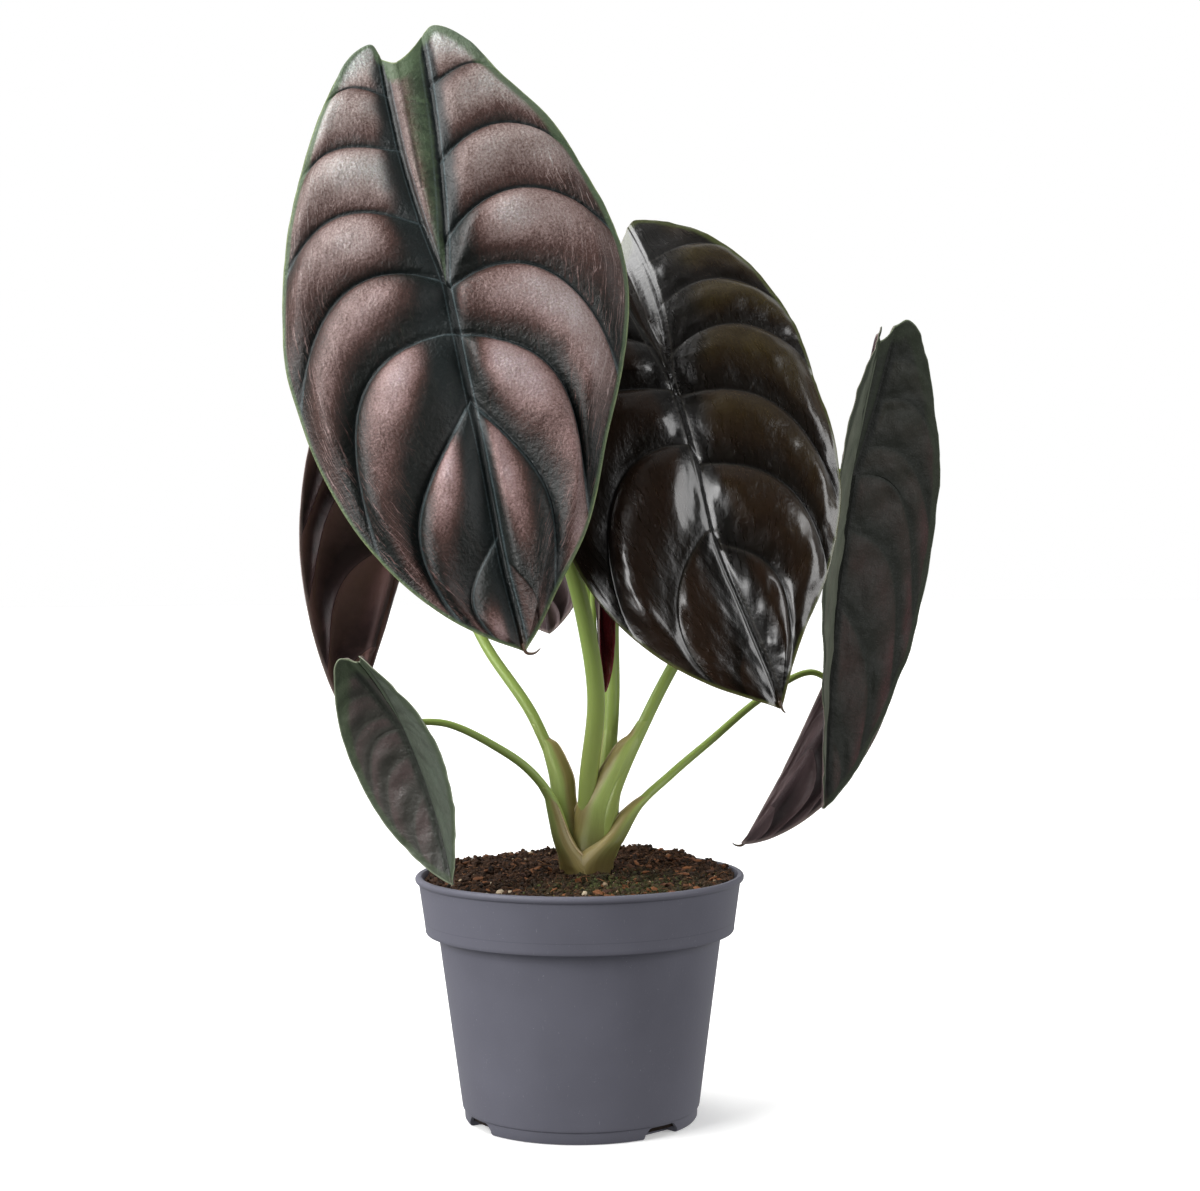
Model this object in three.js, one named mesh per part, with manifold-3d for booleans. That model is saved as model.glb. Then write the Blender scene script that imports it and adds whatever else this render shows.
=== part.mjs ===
// A potted Alocasia cuprea: eight leaves on arching stalks, rising from one sheathed crown that stands in
// potting soil, in a plain round nursery pot. Millimetres, +Z up, origin at the centre of the pot's base.
// A leaf blade is one thin closed body, meshed along its veins: the veins are sunken grooves and the panels
// between them swell upward, so the quilting that marks this plant is real shape.
import * as THREE from "three";
import Module from "manifold-3d";

const wasm = await Module();
wasm.setup();

// Pot: a thin moulded wall with a deep band under a rolled bead, and drain slots round the foot
const POT = {
  footRadius: 42.9,
  footHeight: 4.6,
  bodyTopRadius: 51.8,
  bodyTop: 65.2,
  bandBottomRadius: 57.0,
  bandBottom: 70.6,
  bandTopRadius: 59.4,
  bandTop: 87.4,
  beadRadius: 60.7,
  height: 90.2,
  wall: 1.4,
  floor: 1.8,
  segments: 48,
  slotAngles: [-59, 43, 132, 212],
  slotWidth: 14.5,
  slotDepth: 6,
};

// Soil: fills the pot, heaped a little round the crown and towards the back left
const SOIL = {
  clearance: 0.35,
  level: 86.6,
  crownHeap: 4.6,
  heapReach: 24,
  rearHeap: 4.2,
  heapDirection: 115,
  crumb: 0.7,
  belowRim: 2,
  rings: 8,
  sectors: 40,
};

// Crown: the short stem in the soil and the leaf sheaths that wrap it
const CROWN = {
  centre: [3, 0],
  radius: 9.4,
  bottom: 64,
  top: 97,
  soilTop: 93,
  holeClearance: 0.4,
  holeFloorGap: 0.35,
  clearTop: 200,
  spread: 60,
  spreadRise: 20,
  segments: 20,
};

// Gap left where two separate parts meet
const SEAM = 0.32;

// Blade: its thickness, and how the quilted panels rise between the veins
const BLADE = {
  thickness: 0.75,
  ribThickness: 1.5,
  ribReach: 0.12,
  fullHalf: 60,
  swellFrom: 0.2,
  flatFrom: 0.66,
  flatShare: 0.85,
  crestPlace: 0.8,
  crestWidth: 0.7,
  betweenRibs: 0.5,
  notch: 0.07,
};

// Veins: how the two back ribs part, and how each vein curves from its rib to the margin
const VEIN = {
  backRibSpread: 2.4,
  step: 0.02,
  startPull: 0.5,
  endPull: 0.4,
  endForward: 0.88,
  endOutward: 0.4,
};

// Stalk: how it meets the blade, and how finely it is shaped
const STALK = {
  neck: 3,
  sides: 7,
  rings: 8,
  ringEvery: 18,
  sheathSides: 10,
  sheathRings: 6,
  seatSides: 12,
  seatShare: 0.25,
  frameSteps: 240,
};

// Where each vein leaves the ribs (-1 lobe end, 0 stalk, 1 tip), how far round the margin it ends (0 lobe
// end, 1 tip) and how far it leans back towards the lobes as it starts, in degrees
const VEIN_ON_RIB = [-1, -0.78, -0.5, -0.18, 0, 0.16, 0.37, 0.74, 1];
const VEIN_ON_MARGIN = [0.1, 0.17, 0.29, 0.46, 0.63, 0.76, 0.9, 0.965, 1];
const VEIN_LEAN = [60, 24, 32, 34, 22, 0, -42, -55, -75];
const PANEL_SWELL = [0.35, 0.7, 0.95, 1, 1, 1, 0.95, 0.55];
const STALK_ROW = 4;
const LAST_ROW = 8;
const WIDE_COLUMNS = [0, 0.05, 0.16, 0.36, 0.6, 0.82, 1];
const MIDDLE_COLUMNS = [0, 0.08, 0.3, 0.62, 1];
const SLIM_COLUMNS = [0, 0.12, 0.5, 1];

// Half outlines as shares of the leaf's own lengths: along (lobes -1, tip 1) and across (widest 1)
const OUTLINE = [
  [-0.94, 0.13], [-1, 0.22], [-0.95, 0.36], [-0.78, 0.54], [-0.5, 0.77], [-0.2, 0.93], [0.08, 1],
  [0.3, 0.97], [0.52, 0.83], [0.72, 0.6], [0.87, 0.34], [0.95, 0.15], [1, 0],
];
const OUTLINE_SLIM_TIP = [
  [-0.98, 0.14], [-1.01, 0.22], [-0.92, 0.4], [-0.76, 0.54], [-0.57, 0.75], [-0.26, 0.93], [0.02, 1],
  [0.25, 0.9], [0.47, 0.7], [0.72, 0.47], [0.87, 0.23], [0.95, 0.1], [1, 0],
];
const OUTLINE_FULL_TIP = [
  [-0.92, 0.1], [-0.98, 0.15], [-0.95, 0.28], [-0.84, 0.43], [-0.56, 0.68], [-0.25, 0.88], [0.08, 1],
  [0.28, 0.98], [0.52, 0.86], [0.72, 0.65], [0.87, 0.39], [0.95, 0.18], [1, 0],
];
const OUTLINE_ROUND_BACK = [
  [-0.98, 0.14], [-1.01, 0.22], [-0.93, 0.44], [-0.76, 0.67], [-0.5, 0.88], [-0.18, 0.99], [0.1, 1],
  [0.3, 0.97], [0.45, 0.89], [0.67, 0.6], [0.84, 0.26], [0.93, 0.1], [1, 0],
];
const OUTLINE_BROAD = [
  [-0.94, 0.13], [-1, 0.22], [-0.95, 0.36], [-0.78, 0.56], [-0.5, 0.79], [-0.2, 0.93], [0.08, 1],
  [0.3, 1], [0.46, 0.98], [0.62, 0.87], [0.77, 0.66], [0.88, 0.41], [0.95, 0.18], [1, 0],
];

// Leaves. junction: where the stalk joins the blade; tip: the point of the blade; face: compass angle of the
// upper side, from -Y towards +X; back: length from stalk to lobes; half: half width, left and right; fold
// and cup: angle of each half at the midrib, and its further turn out to the margin; bend and bendBack: turn
// along the midrib towards the tip and towards the lobes; quilt: height of the panels; rows: steps between
// two veins; columns: places from rib to margin. The stalk runs through the via points with the radii in
// stalkRadius at the crown, above its sheath and under the blade; sheathEnd is the sheath's share of it.
const LEAVES = [
  {
    name: "front", junction: [-41.6, -60, 301.3], tip: [-16.9, -78, 175.2], face: 4, back: 97,
    half: [62, 61], fold: [8, 8], cup: [-30, -30], bend: -12, bendBack: -9, quilt: 3.8,
    outlines: [OUTLINE_FULL_TIP, OUTLINE_SLIM_TIP], rows: 4, columns: WIDE_COLUMNS,
    stalkRadius: [5, 3.5, 2.3], sheathEnd: 0.15,
    via: [[2, -1, 84], [3.4, -4, 123.5], [6.5, -9, 154.6], [3, -16, 182], [-3, -22, 206], [-14, -29, 232],
      [-30, -42, 270]],
  },
  {
    name: "right", junction: [35.4, -30, 272.2], tip: [71, -50, 153.8], face: 13, back: 69,
    half: [57, 51.8], fold: [8, 8], cup: [-26, -30], bend: -14, bendBack: -26, quilt: 3.4,
    outlines: [OUTLINE_BROAD, OUTLINE_ROUND_BACK], rows: 4, columns: WIDE_COLUMNS,
    stalkRadius: [4.6, 3.3, 2.2], sheathEnd: 0.2,
    via: [[4, 4, 84], [9.6, 7, 124], [12.2, 8, 154], [12.4, 7, 184], [15.5, 1, 224], [24, -9, 254]],
  },
  {
    name: "left_rear", junction: [-68.4, 35, 256.5], tip: [-87, 20, 146], face: -125, back: 58,
    half: [38, 35.5], fold: [28, 28], cup: [-14, -14], bend: -10, bendBack: -16, quilt: 2.4,
    outlines: [OUTLINE, OUTLINE], rows: 3, columns: MIDDLE_COLUMNS,
    stalkRadius: [5.6, 2.2, 1.6], sheathEnd: 0.26,
    via: [[0, 1, 84], [-4, 0.5, 112.8], [-16.3, 6, 146.3], [-35.8, 16, 175.5], [-50, 24, 208],
      [-61, 28, 240]],
  },
  {
    name: "left_low", junction: [-61.9, -34, 146.4], tip: [-45.2, -31, 90.4], face: -34, back: 35,
    half: [24, 25], fold: [24, 40], cup: [-14, -20], bend: 22, bendBack: 26, quilt: 1.2,
    outlines: [OUTLINE, OUTLINE], rows: 2, columns: SLIM_COLUMNS,
    stalkRadius: [5.6, 1.8, 1.1], sheathEnd: 0.3,
    via: [[0, -3, 84], [-8.6, -8, 115.3], [-17, -14, 128.5], [-28.6, -20, 137.9], [-47.5, -27, 147.6]],
  },
  {
    name: "far_right", junction: [103.4, 15, 236.6], tip: [92.3, 12, 111.9], face: 56, back: 59,
    half: [41.5, 46], fold: [28, 28], cup: [-14, -14], bend: 10, bendBack: 6, quilt: 2.2,
    outlines: [OUTLINE, OUTLINE], rows: 3, columns: MIDDLE_COLUMNS,
    stalkRadius: [6.6, 2.4, 1.7], sheathEnd: 0.26,
    via: [[5, -2, 84], [12.6, -5, 119], [25.3, 2, 147.4], [35.7, 8, 166.7], [58, 20, 203], [82, 24, 228]],
  },
  {
    name: "right_low", junction: [102, 44, 155.8], tip: [63.2, 41, 95], face: 138, back: 21,
    half: [20, 20], fold: [46, 46], cup: [-16, -16], bend: -42, bendBack: -12, quilt: 1.2,
    outlines: [OUTLINE, OUTLINE], rows: 2, columns: SLIM_COLUMNS,
    stalkRadius: [5.6, 1.7, 1.1], sheathEnd: 0.24,
    via: [[6, -1, 84], [20.5, -1, 113.2], [34, 7, 125.4], [48.9, 15, 137], [70, 26, 153], [90, 36, 162]],
  },
  {
    name: "rear", junction: [-22.7, 44, 241], tip: [-11.1, 27, 177.8], face: 172, back: 44,
    half: [30, 30], fold: [14, 14], cup: [-22, -22], bend: -12, bendBack: -14, quilt: 2,
    outlines: [OUTLINE, OUTLINE], rows: 2, columns: MIDDLE_COLUMNS,
    stalkRadius: [4, 2.3, 1.6], sheathEnd: 0.2,
    via: [[2, 6, 84], [3.5, 14, 120], [5.6, 17, 155], [3.2, 22, 192], [-9, 28, 224]],
  },
  {
    name: "young", junction: [7, -3, 218], tip: [10, -1.5, 157.1], face: 20, back: 14,
    half: [10, 10], fold: [40, 40], cup: [70, 70], bend: 6, bendBack: 10, quilt: 0.5,
    outlines: [OUTLINE, OUTLINE], rows: 2, columns: SLIM_COLUMNS,
    stalkRadius: [3, 1.4, 1.1], sheathEnd: 0.26,
    via: [[3, 6, 84], [5, 8.5, 124], [5.6, 8, 160], [5.6, 7.5, 192], [5.8, 4, 211]],
  },
];

const rad = THREE.MathUtils.degToRad;
const clamp01 = (x) => THREE.MathUtils.clamp(x, 0, 1);
const smooth = (x, from, to) => THREE.MathUtils.smoothstep(x, from, to);
const vec = (a) => new THREE.Vector3(...a);

// Smooth value of a list of stations at a place between them
function along(list, place) {
  const i = Math.min(Math.floor(place), list.length - 2);
  const f = place - i;
  const before = list[Math.max(i - 1, 0)];
  const after = list[Math.min(i + 2, list.length - 1)];
  const m0 = limitedSlope(before, list[i], list[i + 1]);
  const m1 = limitedSlope(list[i], list[i + 1], after);
  const f2 = f * f;
  const f3 = f2 * f;
  return (2 * f3 - 3 * f2 + 1) * list[i] + (f3 - 2 * f2 + f) * m0 + (3 * f2 - 2 * f3) * list[i + 1]
    + (f3 - f2) * m1;
}

// Slope at the middle of three values that never overshoots them
function limitedSlope(a, b, c) {
  const d0 = b - a;
  const d1 = c - b;
  return d0 * d1 <= 0 ? 0 : (2 * d0 * d1) / (d0 + d1);
}

// The flat blade: s runs along the midrib towards the tip and t across it, in millimetres
function flatBlade(leaf) {
  const chord = vec(leaf.tip).distanceTo(vec(leaf.junction));
  const turn = Math.abs(rad(leaf.bend)) / 2;
  const forward = (chord * turn) / Math.sin(turn);
  const sLength = (q) => q * (q > 0 ? forward : leaf.back);
  const margins = leaf.outlines.map((outline, k) => new THREE.CatmullRomCurve3(
    outline.map(([q, w]) => new THREE.Vector3(sLength(q), w * leaf.half[k], 0)), false, "centripetal"));

  // Half width of the panel between the two ribs that run back to the lobes
  const lobeGap = (k) => leaf.outlines[k][0][1] * leaf.half[k];
  function rib(k, q) {
    const back = q < 0 ? -q : 0;
    const end = leaf.outlines[k][0];
    const s = q < 0 ? back * end[0] * leaf.back : q * forward;
    return new THREE.Vector3(s, lobeGap(k) * (1 - (1 - back) ** VEIN.backRibSpread), 0);
  }

  // A point of one half: row counts the veins from lobes to tip, and reach runs from rib 0 to margin 1
  function point(k, row, reach) {
    const q = along(VEIN_ON_RIB, row);
    const start = rib(k, q);
    const onMargin = along(VEIN_ON_MARGIN, row);
    const end = margins[k].getPointAt(onMargin);
    const edge = margins[k].getTangentAt(onMargin);
    const spine = rib(k, Math.min(q + VEIN.step, 1)).sub(rib(k, Math.max(q - VEIN.step, -1))).normalize();
    const outward = new THREE.Vector3(-spine.y, spine.x, 0);
    const lean = rad(along(VEIN_LEAN, row));
    const first = outward.multiplyScalar(Math.cos(lean)).addScaledVector(spine, -Math.sin(lean));
    const span = start.distanceTo(end);
    const last = edge.clone().multiplyScalar(VEIN.endForward);
    last.add(new THREE.Vector3(-edge.y, edge.x, 0).multiplyScalar(VEIN.endOutward));
    const vein = new THREE.CubicBezierCurve3(
      start,
      start.clone().addScaledVector(first, span * VEIN.startPull),
      end.clone().addScaledVector(last, -span * VEIN.endPull),
      end,
    );
    const inside = vein.getPoint(reach);
    if (row >= 1) {
      return inside;
    }
    const lobe = margins[k].getPointAt(onMargin * reach);
    return lobe.lerp(inside, smooth(row, 0, 1));
  }
  return { forward, point, rib };
}

// Bends the flat blade into its place: returns the point at height h over its middle surface
function placer(leaf, forward) {
  const chord = vec(leaf.tip).sub(vec(leaf.junction)).normalize();
  const face = new THREE.Vector3(Math.sin(rad(leaf.face)), -Math.cos(rad(leaf.face)), 0);
  const chordNormal = face.addScaledVector(chord, -face.dot(chord)).normalize();
  const half = rad(leaf.bend) / 2;
  const ahead = chord.clone().multiplyScalar(Math.cos(half)).addScaledVector(chordNormal, -Math.sin(half));
  const up = chordNormal.clone().multiplyScalar(Math.cos(half)).addScaledVector(chord, Math.sin(half));
  const side = new THREE.Vector3().crossVectors(up, ahead);
  return (k, s, t, h) => {
    const length = s > 0 ? forward : leaf.back;
    const curve = rad(s > 0 ? leaf.bend : leaf.bendBack) / length;
    const theta = curve * s;
    const spine = vec(leaf.junction).addScaledVector(ahead, Math.sin(theta) / curve)
      .addScaledVector(up, (1 - Math.cos(theta)) / curve);
    const normal = up.clone().multiplyScalar(Math.cos(theta)).addScaledVector(ahead, -Math.sin(theta));
    const sign = k === 0 ? -1 : 1;
    const fold = rad(leaf.fold[k]);
    const cup = rad(leaf.cup[k]) / leaf.half[k];
    const angle = fold + cup * t;
    spine.addScaledVector(side, (sign * (Math.sin(angle) - Math.sin(fold))) / cup);
    spine.addScaledVector(normal, (Math.cos(fold) - Math.cos(angle)) / cup);
    spine.addScaledVector(normal, h * Math.cos(angle));
    return spine.addScaledVector(side, -h * sign * Math.sin(angle));
  };
}

// Height of the upper side: sunken along veins and ribs, swollen in the panels, flat along the margin
function swell(leaf, row, reach) {
  const panel = Math.min(Math.floor(row), LAST_ROW - 1);
  const between = row - panel;
  const bulge = Math.sin(Math.PI * between ** BLADE.crestPlace) ** BLADE.crestWidth;
  const fromRib = smooth(reach, 0, BLADE.swellFrom);
  const toMargin = 1 - BLADE.flatShare * smooth(reach, BLADE.flatFrom, 1);
  return leaf.quilt * PANEL_SWELL[panel] * bulge * fromRib * toMargin;
}

// How far the underside lies below the upper side: thick along the ribs, thin in the panels
function depthBelow(leaf, row, reach) {
  const towardsTip = 1 - clamp01(row / LAST_ROW) / 2;
  const rib = BLADE.ribThickness * towardsTip * Math.sqrt(leaf.half[0] / BLADE.fullHalf);
  return BLADE.thickness + rib * (1 - smooth(reach, 0, BLADE.ribReach));
}

// One blade as a closed body: a sheet of points, the same sheet below it and a rim round both
function bladeGeometry(leaf) {
  const { forward, point, rib } = flatBlade(leaf);
  const put = placer(leaf, forward);
  const upper = [];
  const lower = [];
  const known = new Map();
  const add = (key, k, flat, high, deep) => {
    if (!known.has(key)) {
      known.set(key, upper.length);
      upper.push(put(k, flat.x, flat.y, high));
      lower.push(put(k, flat.x, flat.y, high - deep));
    }
    return known.get(key);
  };

  const rows = [];
  for (let i = 0; i <= LAST_ROW * leaf.rows; i += 1) {
    rows.push(i / leaf.rows);
  }
  const triangles = [];
  const quad = (a, b, c, d) => {
    for (const [x, y, z] of [[a, b, c], [a, c, d]]) {
      if (x !== y && y !== z && z !== x) {
        triangles.push([x, y, z]);
      }
    }
  };

  // Both halves share the midrib; behind the stalk each has its own rib
  const grid = [0, 1].map((k) => rows.map((row) => leaf.columns.map((reach, j) => {
    const shared = row >= STALK_ROW && j === 0;
    const key = row === LAST_ROW ? "tip" : `${shared ? "mid" : k}/${row}/${shared ? 0 : j}`;
    const flat = j === 0 ? rib(k, along(VEIN_ON_RIB, row)) : point(k, row, reach);
    return add(key, k, flat, swell(leaf, row, reach), depthBelow(leaf, row, reach));
  })));
  for (const k of [0, 1]) {
    for (let i = 0; i + 1 < rows.length; i += 1) {
      for (let j = 0; j + 1 < leaf.columns.length; j += 1) {
        const [a, b] = [grid[k][i][j], grid[k][i][j + 1]];
        const [c, d] = [grid[k][i + 1][j + 1], grid[k][i + 1][j]];
        quad(...(k === 0 ? [a, b, c, d] : [a, d, c, b]));
      }
    }
  }

  // The panel between the two back ribs, notched at its open end
  const stalkIndex = STALK_ROW * leaf.rows;
  const middle = rows.slice(0, stalkIndex).map((row) => {
    const q = along(VEIN_ON_RIB, row);
    const flat = rib(1, q);
    flat.x += BLADE.notch * leaf.back * smooth(-q, 0.8, 1);
    flat.y = 0;
    return add(`between/${row}`, 1, flat, BLADE.betweenRibs * smooth(-q, 0, 0.4), BLADE.thickness);
  });
  middle.push(grid[0][stalkIndex][0]);
  for (let i = 0; i < stalkIndex; i += 1) {
    quad(grid[0][i][0], grid[0][i + 1][0], middle[i + 1], middle[i]);
    quad(middle[i], middle[i + 1], grid[1][i + 1][0], grid[1][i][0]);
  }
  return closedSheet(upper, lower, triangles);
}

// Joins an upper and a lower sheet of points with the same triangles by a rim along their open edges
function closedSheet(upper, lower, triangles) {
  const count = upper.length;
  const edges = new Map();
  for (const [a, b, c] of triangles) {
    for (const [x, y] of [[a, b], [b, c], [c, a]]) {
      edges.set(`${x}/${y}`, [x, y]);
    }
  }
  const faces = triangles.flatMap(([a, b, c]) => [a, b, c, c + count, b + count, a + count]);
  for (const [x, y] of edges.values()) {
    if (!edges.has(`${y}/${x}`)) {
      faces.push(y, x, x + count, y, x + count, y + count);
    }
  }
  return indexed([...upper, ...lower], faces);
}

function indexed(points, faces) {
  const geometry = new THREE.BufferGeometry();
  geometry.setAttribute("position", new THREE.Float32BufferAttribute(points.flatMap((p) => p.toArray()), 3));
  geometry.setIndex(faces);
  geometry.computeVertexNormals();
  return geometry;
}

// A stalk's middle line, from the crown to just under its blade
function stalkCurve(leaf) {
  const put = placer(leaf, flatBlade(leaf).forward);
  const underside = -depthBelow(leaf, STALK_ROW, 0);
  const top = put(1, 0, 0, underside);
  const below = put(1, 0, 0, underside - STALK.neck * leaf.stalkRadius[2]);
  return new THREE.CatmullRomCurve3([...leaf.via.map(vec), below, top], false, "centripetal");
}

// A round tapering sweep along part of a curve, with flat ends
function taperedSweep(curve, from, to, radiusAt, sides, steps) {
  const frames = curve.computeFrenetFrames(STALK.frameSteps, false);
  const points = [];
  for (let i = 0; i <= steps; i += 1) {
    const u = from + ((to - from) * i) / steps;
    const centre = curve.getPointAt(u);
    const across = frames.normals[Math.round(u * STALK.frameSteps)];
    const tangent = curve.getTangentAt(u);
    const a = across.clone().addScaledVector(tangent, -across.dot(tangent)).normalize();
    const b = new THREE.Vector3().crossVectors(tangent, a);
    for (let j = 0; j < sides; j += 1) {
      const turn = (2 * Math.PI * j) / sides;
      const point = centre.clone().addScaledVector(a, radiusAt(u) * Math.cos(turn));
      points.push(point.addScaledVector(b, radiusAt(u) * Math.sin(turn)));
    }
  }
  const faces = [];
  for (let i = 0; i < steps; i += 1) {
    for (let j = 0; j < sides; j += 1) {
      const p = i * sides + j;
      const q = i * sides + ((j + 1) % sides);
      faces.push(p, q, q + sides, p, q + sides, p + sides);
    }
  }
  for (let j = 1; j + 1 < sides; j += 1) {
    const end = steps * sides;
    faces.push(0, j + 1, j, end, end + j, end + j + 1);
  }
  return indexed(points, faces);
}

// Thickness of a stalk: wide in its sheath, then slim, and slimmer still under the blade
function stalkRadiusAt(leaf) {
  const [base, middle, top] = leaf.stalkRadius;
  const sheath = leaf.sheathEnd;
  return (u) => {
    const rise = THREE.MathUtils.lerp(base, middle, smooth(u, sheath * 0.5, sheath * 1.1));
    return THREE.MathUtils.lerp(rise, top, clamp01((u - sheath) / (1 - sheath)));
  };
}

function solidOf(geometry) {
  const mesh = new wasm.Mesh({
    numProp: 3,
    vertProperties: new Float32Array(geometry.getAttribute("position").array),
    triVerts: new Uint32Array(geometry.getIndex().array),
  });
  return new wasm.Manifold(mesh);
}

function geometryOf(solid) {
  const mesh = solid.getMesh();
  const geometry = new THREE.BufferGeometry();
  geometry.setAttribute("position", new THREE.Float32BufferAttribute(mesh.vertProperties, 3));
  geometry.setIndex(Array.from(mesh.triVerts));
  geometry.computeVertexNormals();
  return geometry;
}

// A closed body turned round the vertical axis from a profile that starts and ends on it
function turned(profile, segments) {
  const lathe = new THREE.LatheGeometry(profile.map(([r, z]) => new THREE.Vector2(r, z)), segments);
  lathe.rotateX(Math.PI / 2);
  const ring = profile.length;
  const source = lathe.getAttribute("position");
  const points = [];
  const index = [];
  const find = (segment, i) => {
    const onAxis = profile[i][0] === 0;
    return index[(onAxis ? 0 : segment % segments) * ring + i];
  };
  for (let segment = 0; segment < segments; segment += 1) {
    for (let i = 0; i < ring; i += 1) {
      index.push(profile[i][0] === 0 && segment > 0 ? -1 : points.length);
      if (index.at(-1) >= 0) {
        points.push(new THREE.Vector3().fromBufferAttribute(source, segment * ring + i));
      }
    }
  }
  const faces = [];
  for (let segment = 0; segment < segments; segment += 1) {
    for (let i = 0; i + 1 < ring; i += 1) {
      const [a, b] = [find(segment, i), find(segment, i + 1)];
      const [c, d] = [find(segment + 1, i + 1), find(segment + 1, i)];
      for (const [x, y, z] of [[a, b, c], [a, c, d]]) {
        if (x !== y && y !== z && z !== x) {
          faces.push(x, z, y);
        }
      }
    }
  }
  return indexed(points, faces);
}

// Inner radius of the pot's wall at a height
function potInside(z) {
  const p = POT;
  const between = (low, high, from, to) => THREE.MathUtils.mapLinear(z, low, high, from, to) - p.wall;
  if (z <= p.bodyTop) {
    return between(0, p.bodyTop, p.footRadius, p.bodyTopRadius);
  }
  if (z <= p.bandBottom) {
    return between(p.bodyTop, p.bandBottom, p.bodyTopRadius, p.bandBottomRadius);
  }
  return between(p.bandBottom, p.bandTop, p.bandBottomRadius, p.bandTopRadius);
}

function potGeometry() {
  const p = POT;
  const foot = [[0, 0], [p.footRadius - 0.8, 0], [p.footRadius, 0.8], [p.footRadius, p.footHeight]];
  const body = [[p.footRadius + 0.6, p.footHeight + 0.3], [p.bodyTopRadius, p.bodyTop]];
  const band = [[p.bandBottomRadius - 2.4, p.bodyTop + 1], [p.bandBottomRadius - 0.5, p.bodyTop + 3],
    [p.bandBottomRadius, p.bandBottom], [p.bandTopRadius, p.bandTop]];
  const bead = [[p.beadRadius - 0.3, p.bandTop + 0.5], [p.beadRadius, p.bandTop + 1.4],
    [p.beadRadius - 0.6, p.height], [p.bandTopRadius - p.wall + 0.3, p.height]];
  const inside = [p.bandTop, p.bandBottom, p.bodyTop + 2.5, p.bodyTop, p.floor].map((z) => [potInside(z), z]);
  const profile = [...foot, ...body, ...band, ...bead, ...inside, [0, p.floor]];
  let pot = solidOf(turned(profile, p.segments));
  const slot = new THREE.BoxGeometry(p.slotWidth, 2 * p.slotDepth, 2 * (p.footHeight - 0.4));
  slot.translate(0, -p.footRadius, 0);
  for (const angle of p.slotAngles) {
    pot = pot.subtract(solidOf(welded(slot.clone().rotateZ(rad(angle)))));
  }
  return geometryOf(pot);
}

// The same body with its doubled corner points merged
function welded(geometry) {
  const source = geometry.getAttribute("position");
  const order = geometry.getIndex().array;
  const known = new Map();
  const points = [];
  const faces = Array.from(order, (i) => {
    const p = new THREE.Vector3().fromBufferAttribute(source, i);
    const key = p.toArray().map((x) => x.toFixed(4)).join("/");
    if (!known.has(key)) {
      known.set(key, points.length);
      points.push(p);
    }
    return known.get(key);
  });
  return indexed(points, faces);
}

// A plain upright cylinder
function rod(radius, bottom, top) {
  return turned([[0, bottom], [radius, bottom], [radius, top], [0, top]], CROWN.segments);
}

// Height of the soil: heaped round the crown and at the back, with crumbs from a seeded formula
function soilHeight(x, y) {
  const fromCrown = Math.hypot(x - CROWN.centre[0], y - CROWN.centre[1]);
  const heap = SOIL.crownHeap * Math.exp(-((fromCrown / SOIL.heapReach) ** 2));
  const d = rad(SOIL.heapDirection);
  const rearward = (x * Math.cos(d) + y * Math.sin(d)) / POT.bandTopRadius;
  const crumbs = Math.sin(x * 0.71 + 1.3) * Math.cos(y * 0.83 + 0.4) + 0.6 * Math.sin(x * 1.9 + y * 1.3);
  return SOIL.level + heap + SOIL.rearHeap * smooth(rearward, -0.1, 0.95) + SOIL.crumb * crumbs;
}

// The soil as a closed body: its heaped top, its sides along the pot's wall and its flat base
function soilGeometry() {
  const gap = SOIL.clearance;
  const rim = POT.bandTop - SOIL.belowRim;
  const outer = potInside(rim) - gap;
  const points = [];
  const triangles = [];
  const ring = (r, height) => {
    for (let j = 0; j < SOIL.sectors; j += 1) {
      const turn = (2 * Math.PI * j) / SOIL.sectors;
      const [x, y] = [r * Math.cos(turn), r * Math.sin(turn)];
      points.push(new THREE.Vector3(x, y, height(x, y)));
    }
    return points.length - SOIL.sectors;
  };
  const join = (inner, wider) => {
    for (let j = 0; j < SOIL.sectors; j += 1) {
      const next = (j + 1) % SOIL.sectors;
      triangles.push(inner + j, wider + j, wider + next, inner + j, wider + next, inner + next);
    }
  };
  const cap = (centre, edge, turn) => {
    for (let j = 0; j < SOIL.sectors; j += 1) {
      const pair = [edge + j, edge + ((j + 1) % SOIL.sectors)];
      triangles.push(centre, ...(turn > 0 ? pair : pair.reverse()));
    }
  };

  points.push(new THREE.Vector3(0, 0, soilHeight(0, 0)));
  let last = ring(outer / SOIL.rings, soilHeight);
  cap(0, last, 1);
  for (let i = 2; i <= SOIL.rings; i += 1) {
    const next = ring((outer * i) / SOIL.rings, soilHeight);
    join(last, next);
    last = next;
  }
  for (const z of [rim, POT.bandBottom, POT.bodyTop, POT.floor + gap]) {
    const next = ring(potInside(z) - gap, () => z);
    join(last, next);
    last = next;
  }
  points.push(new THREE.Vector3(0, 0, POT.floor + gap));
  cap(points.length - 1, last, -1);

  const c = CROWN;
  const hole = rod(c.radius + c.holeClearance, c.bottom - c.holeFloorGap, c.clearTop);
  hole.translate(...c.centre, 0);
  return geometryOf(solidOf(indexed(points, triangles)).subtract(solidOf(hole)));
}

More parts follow.
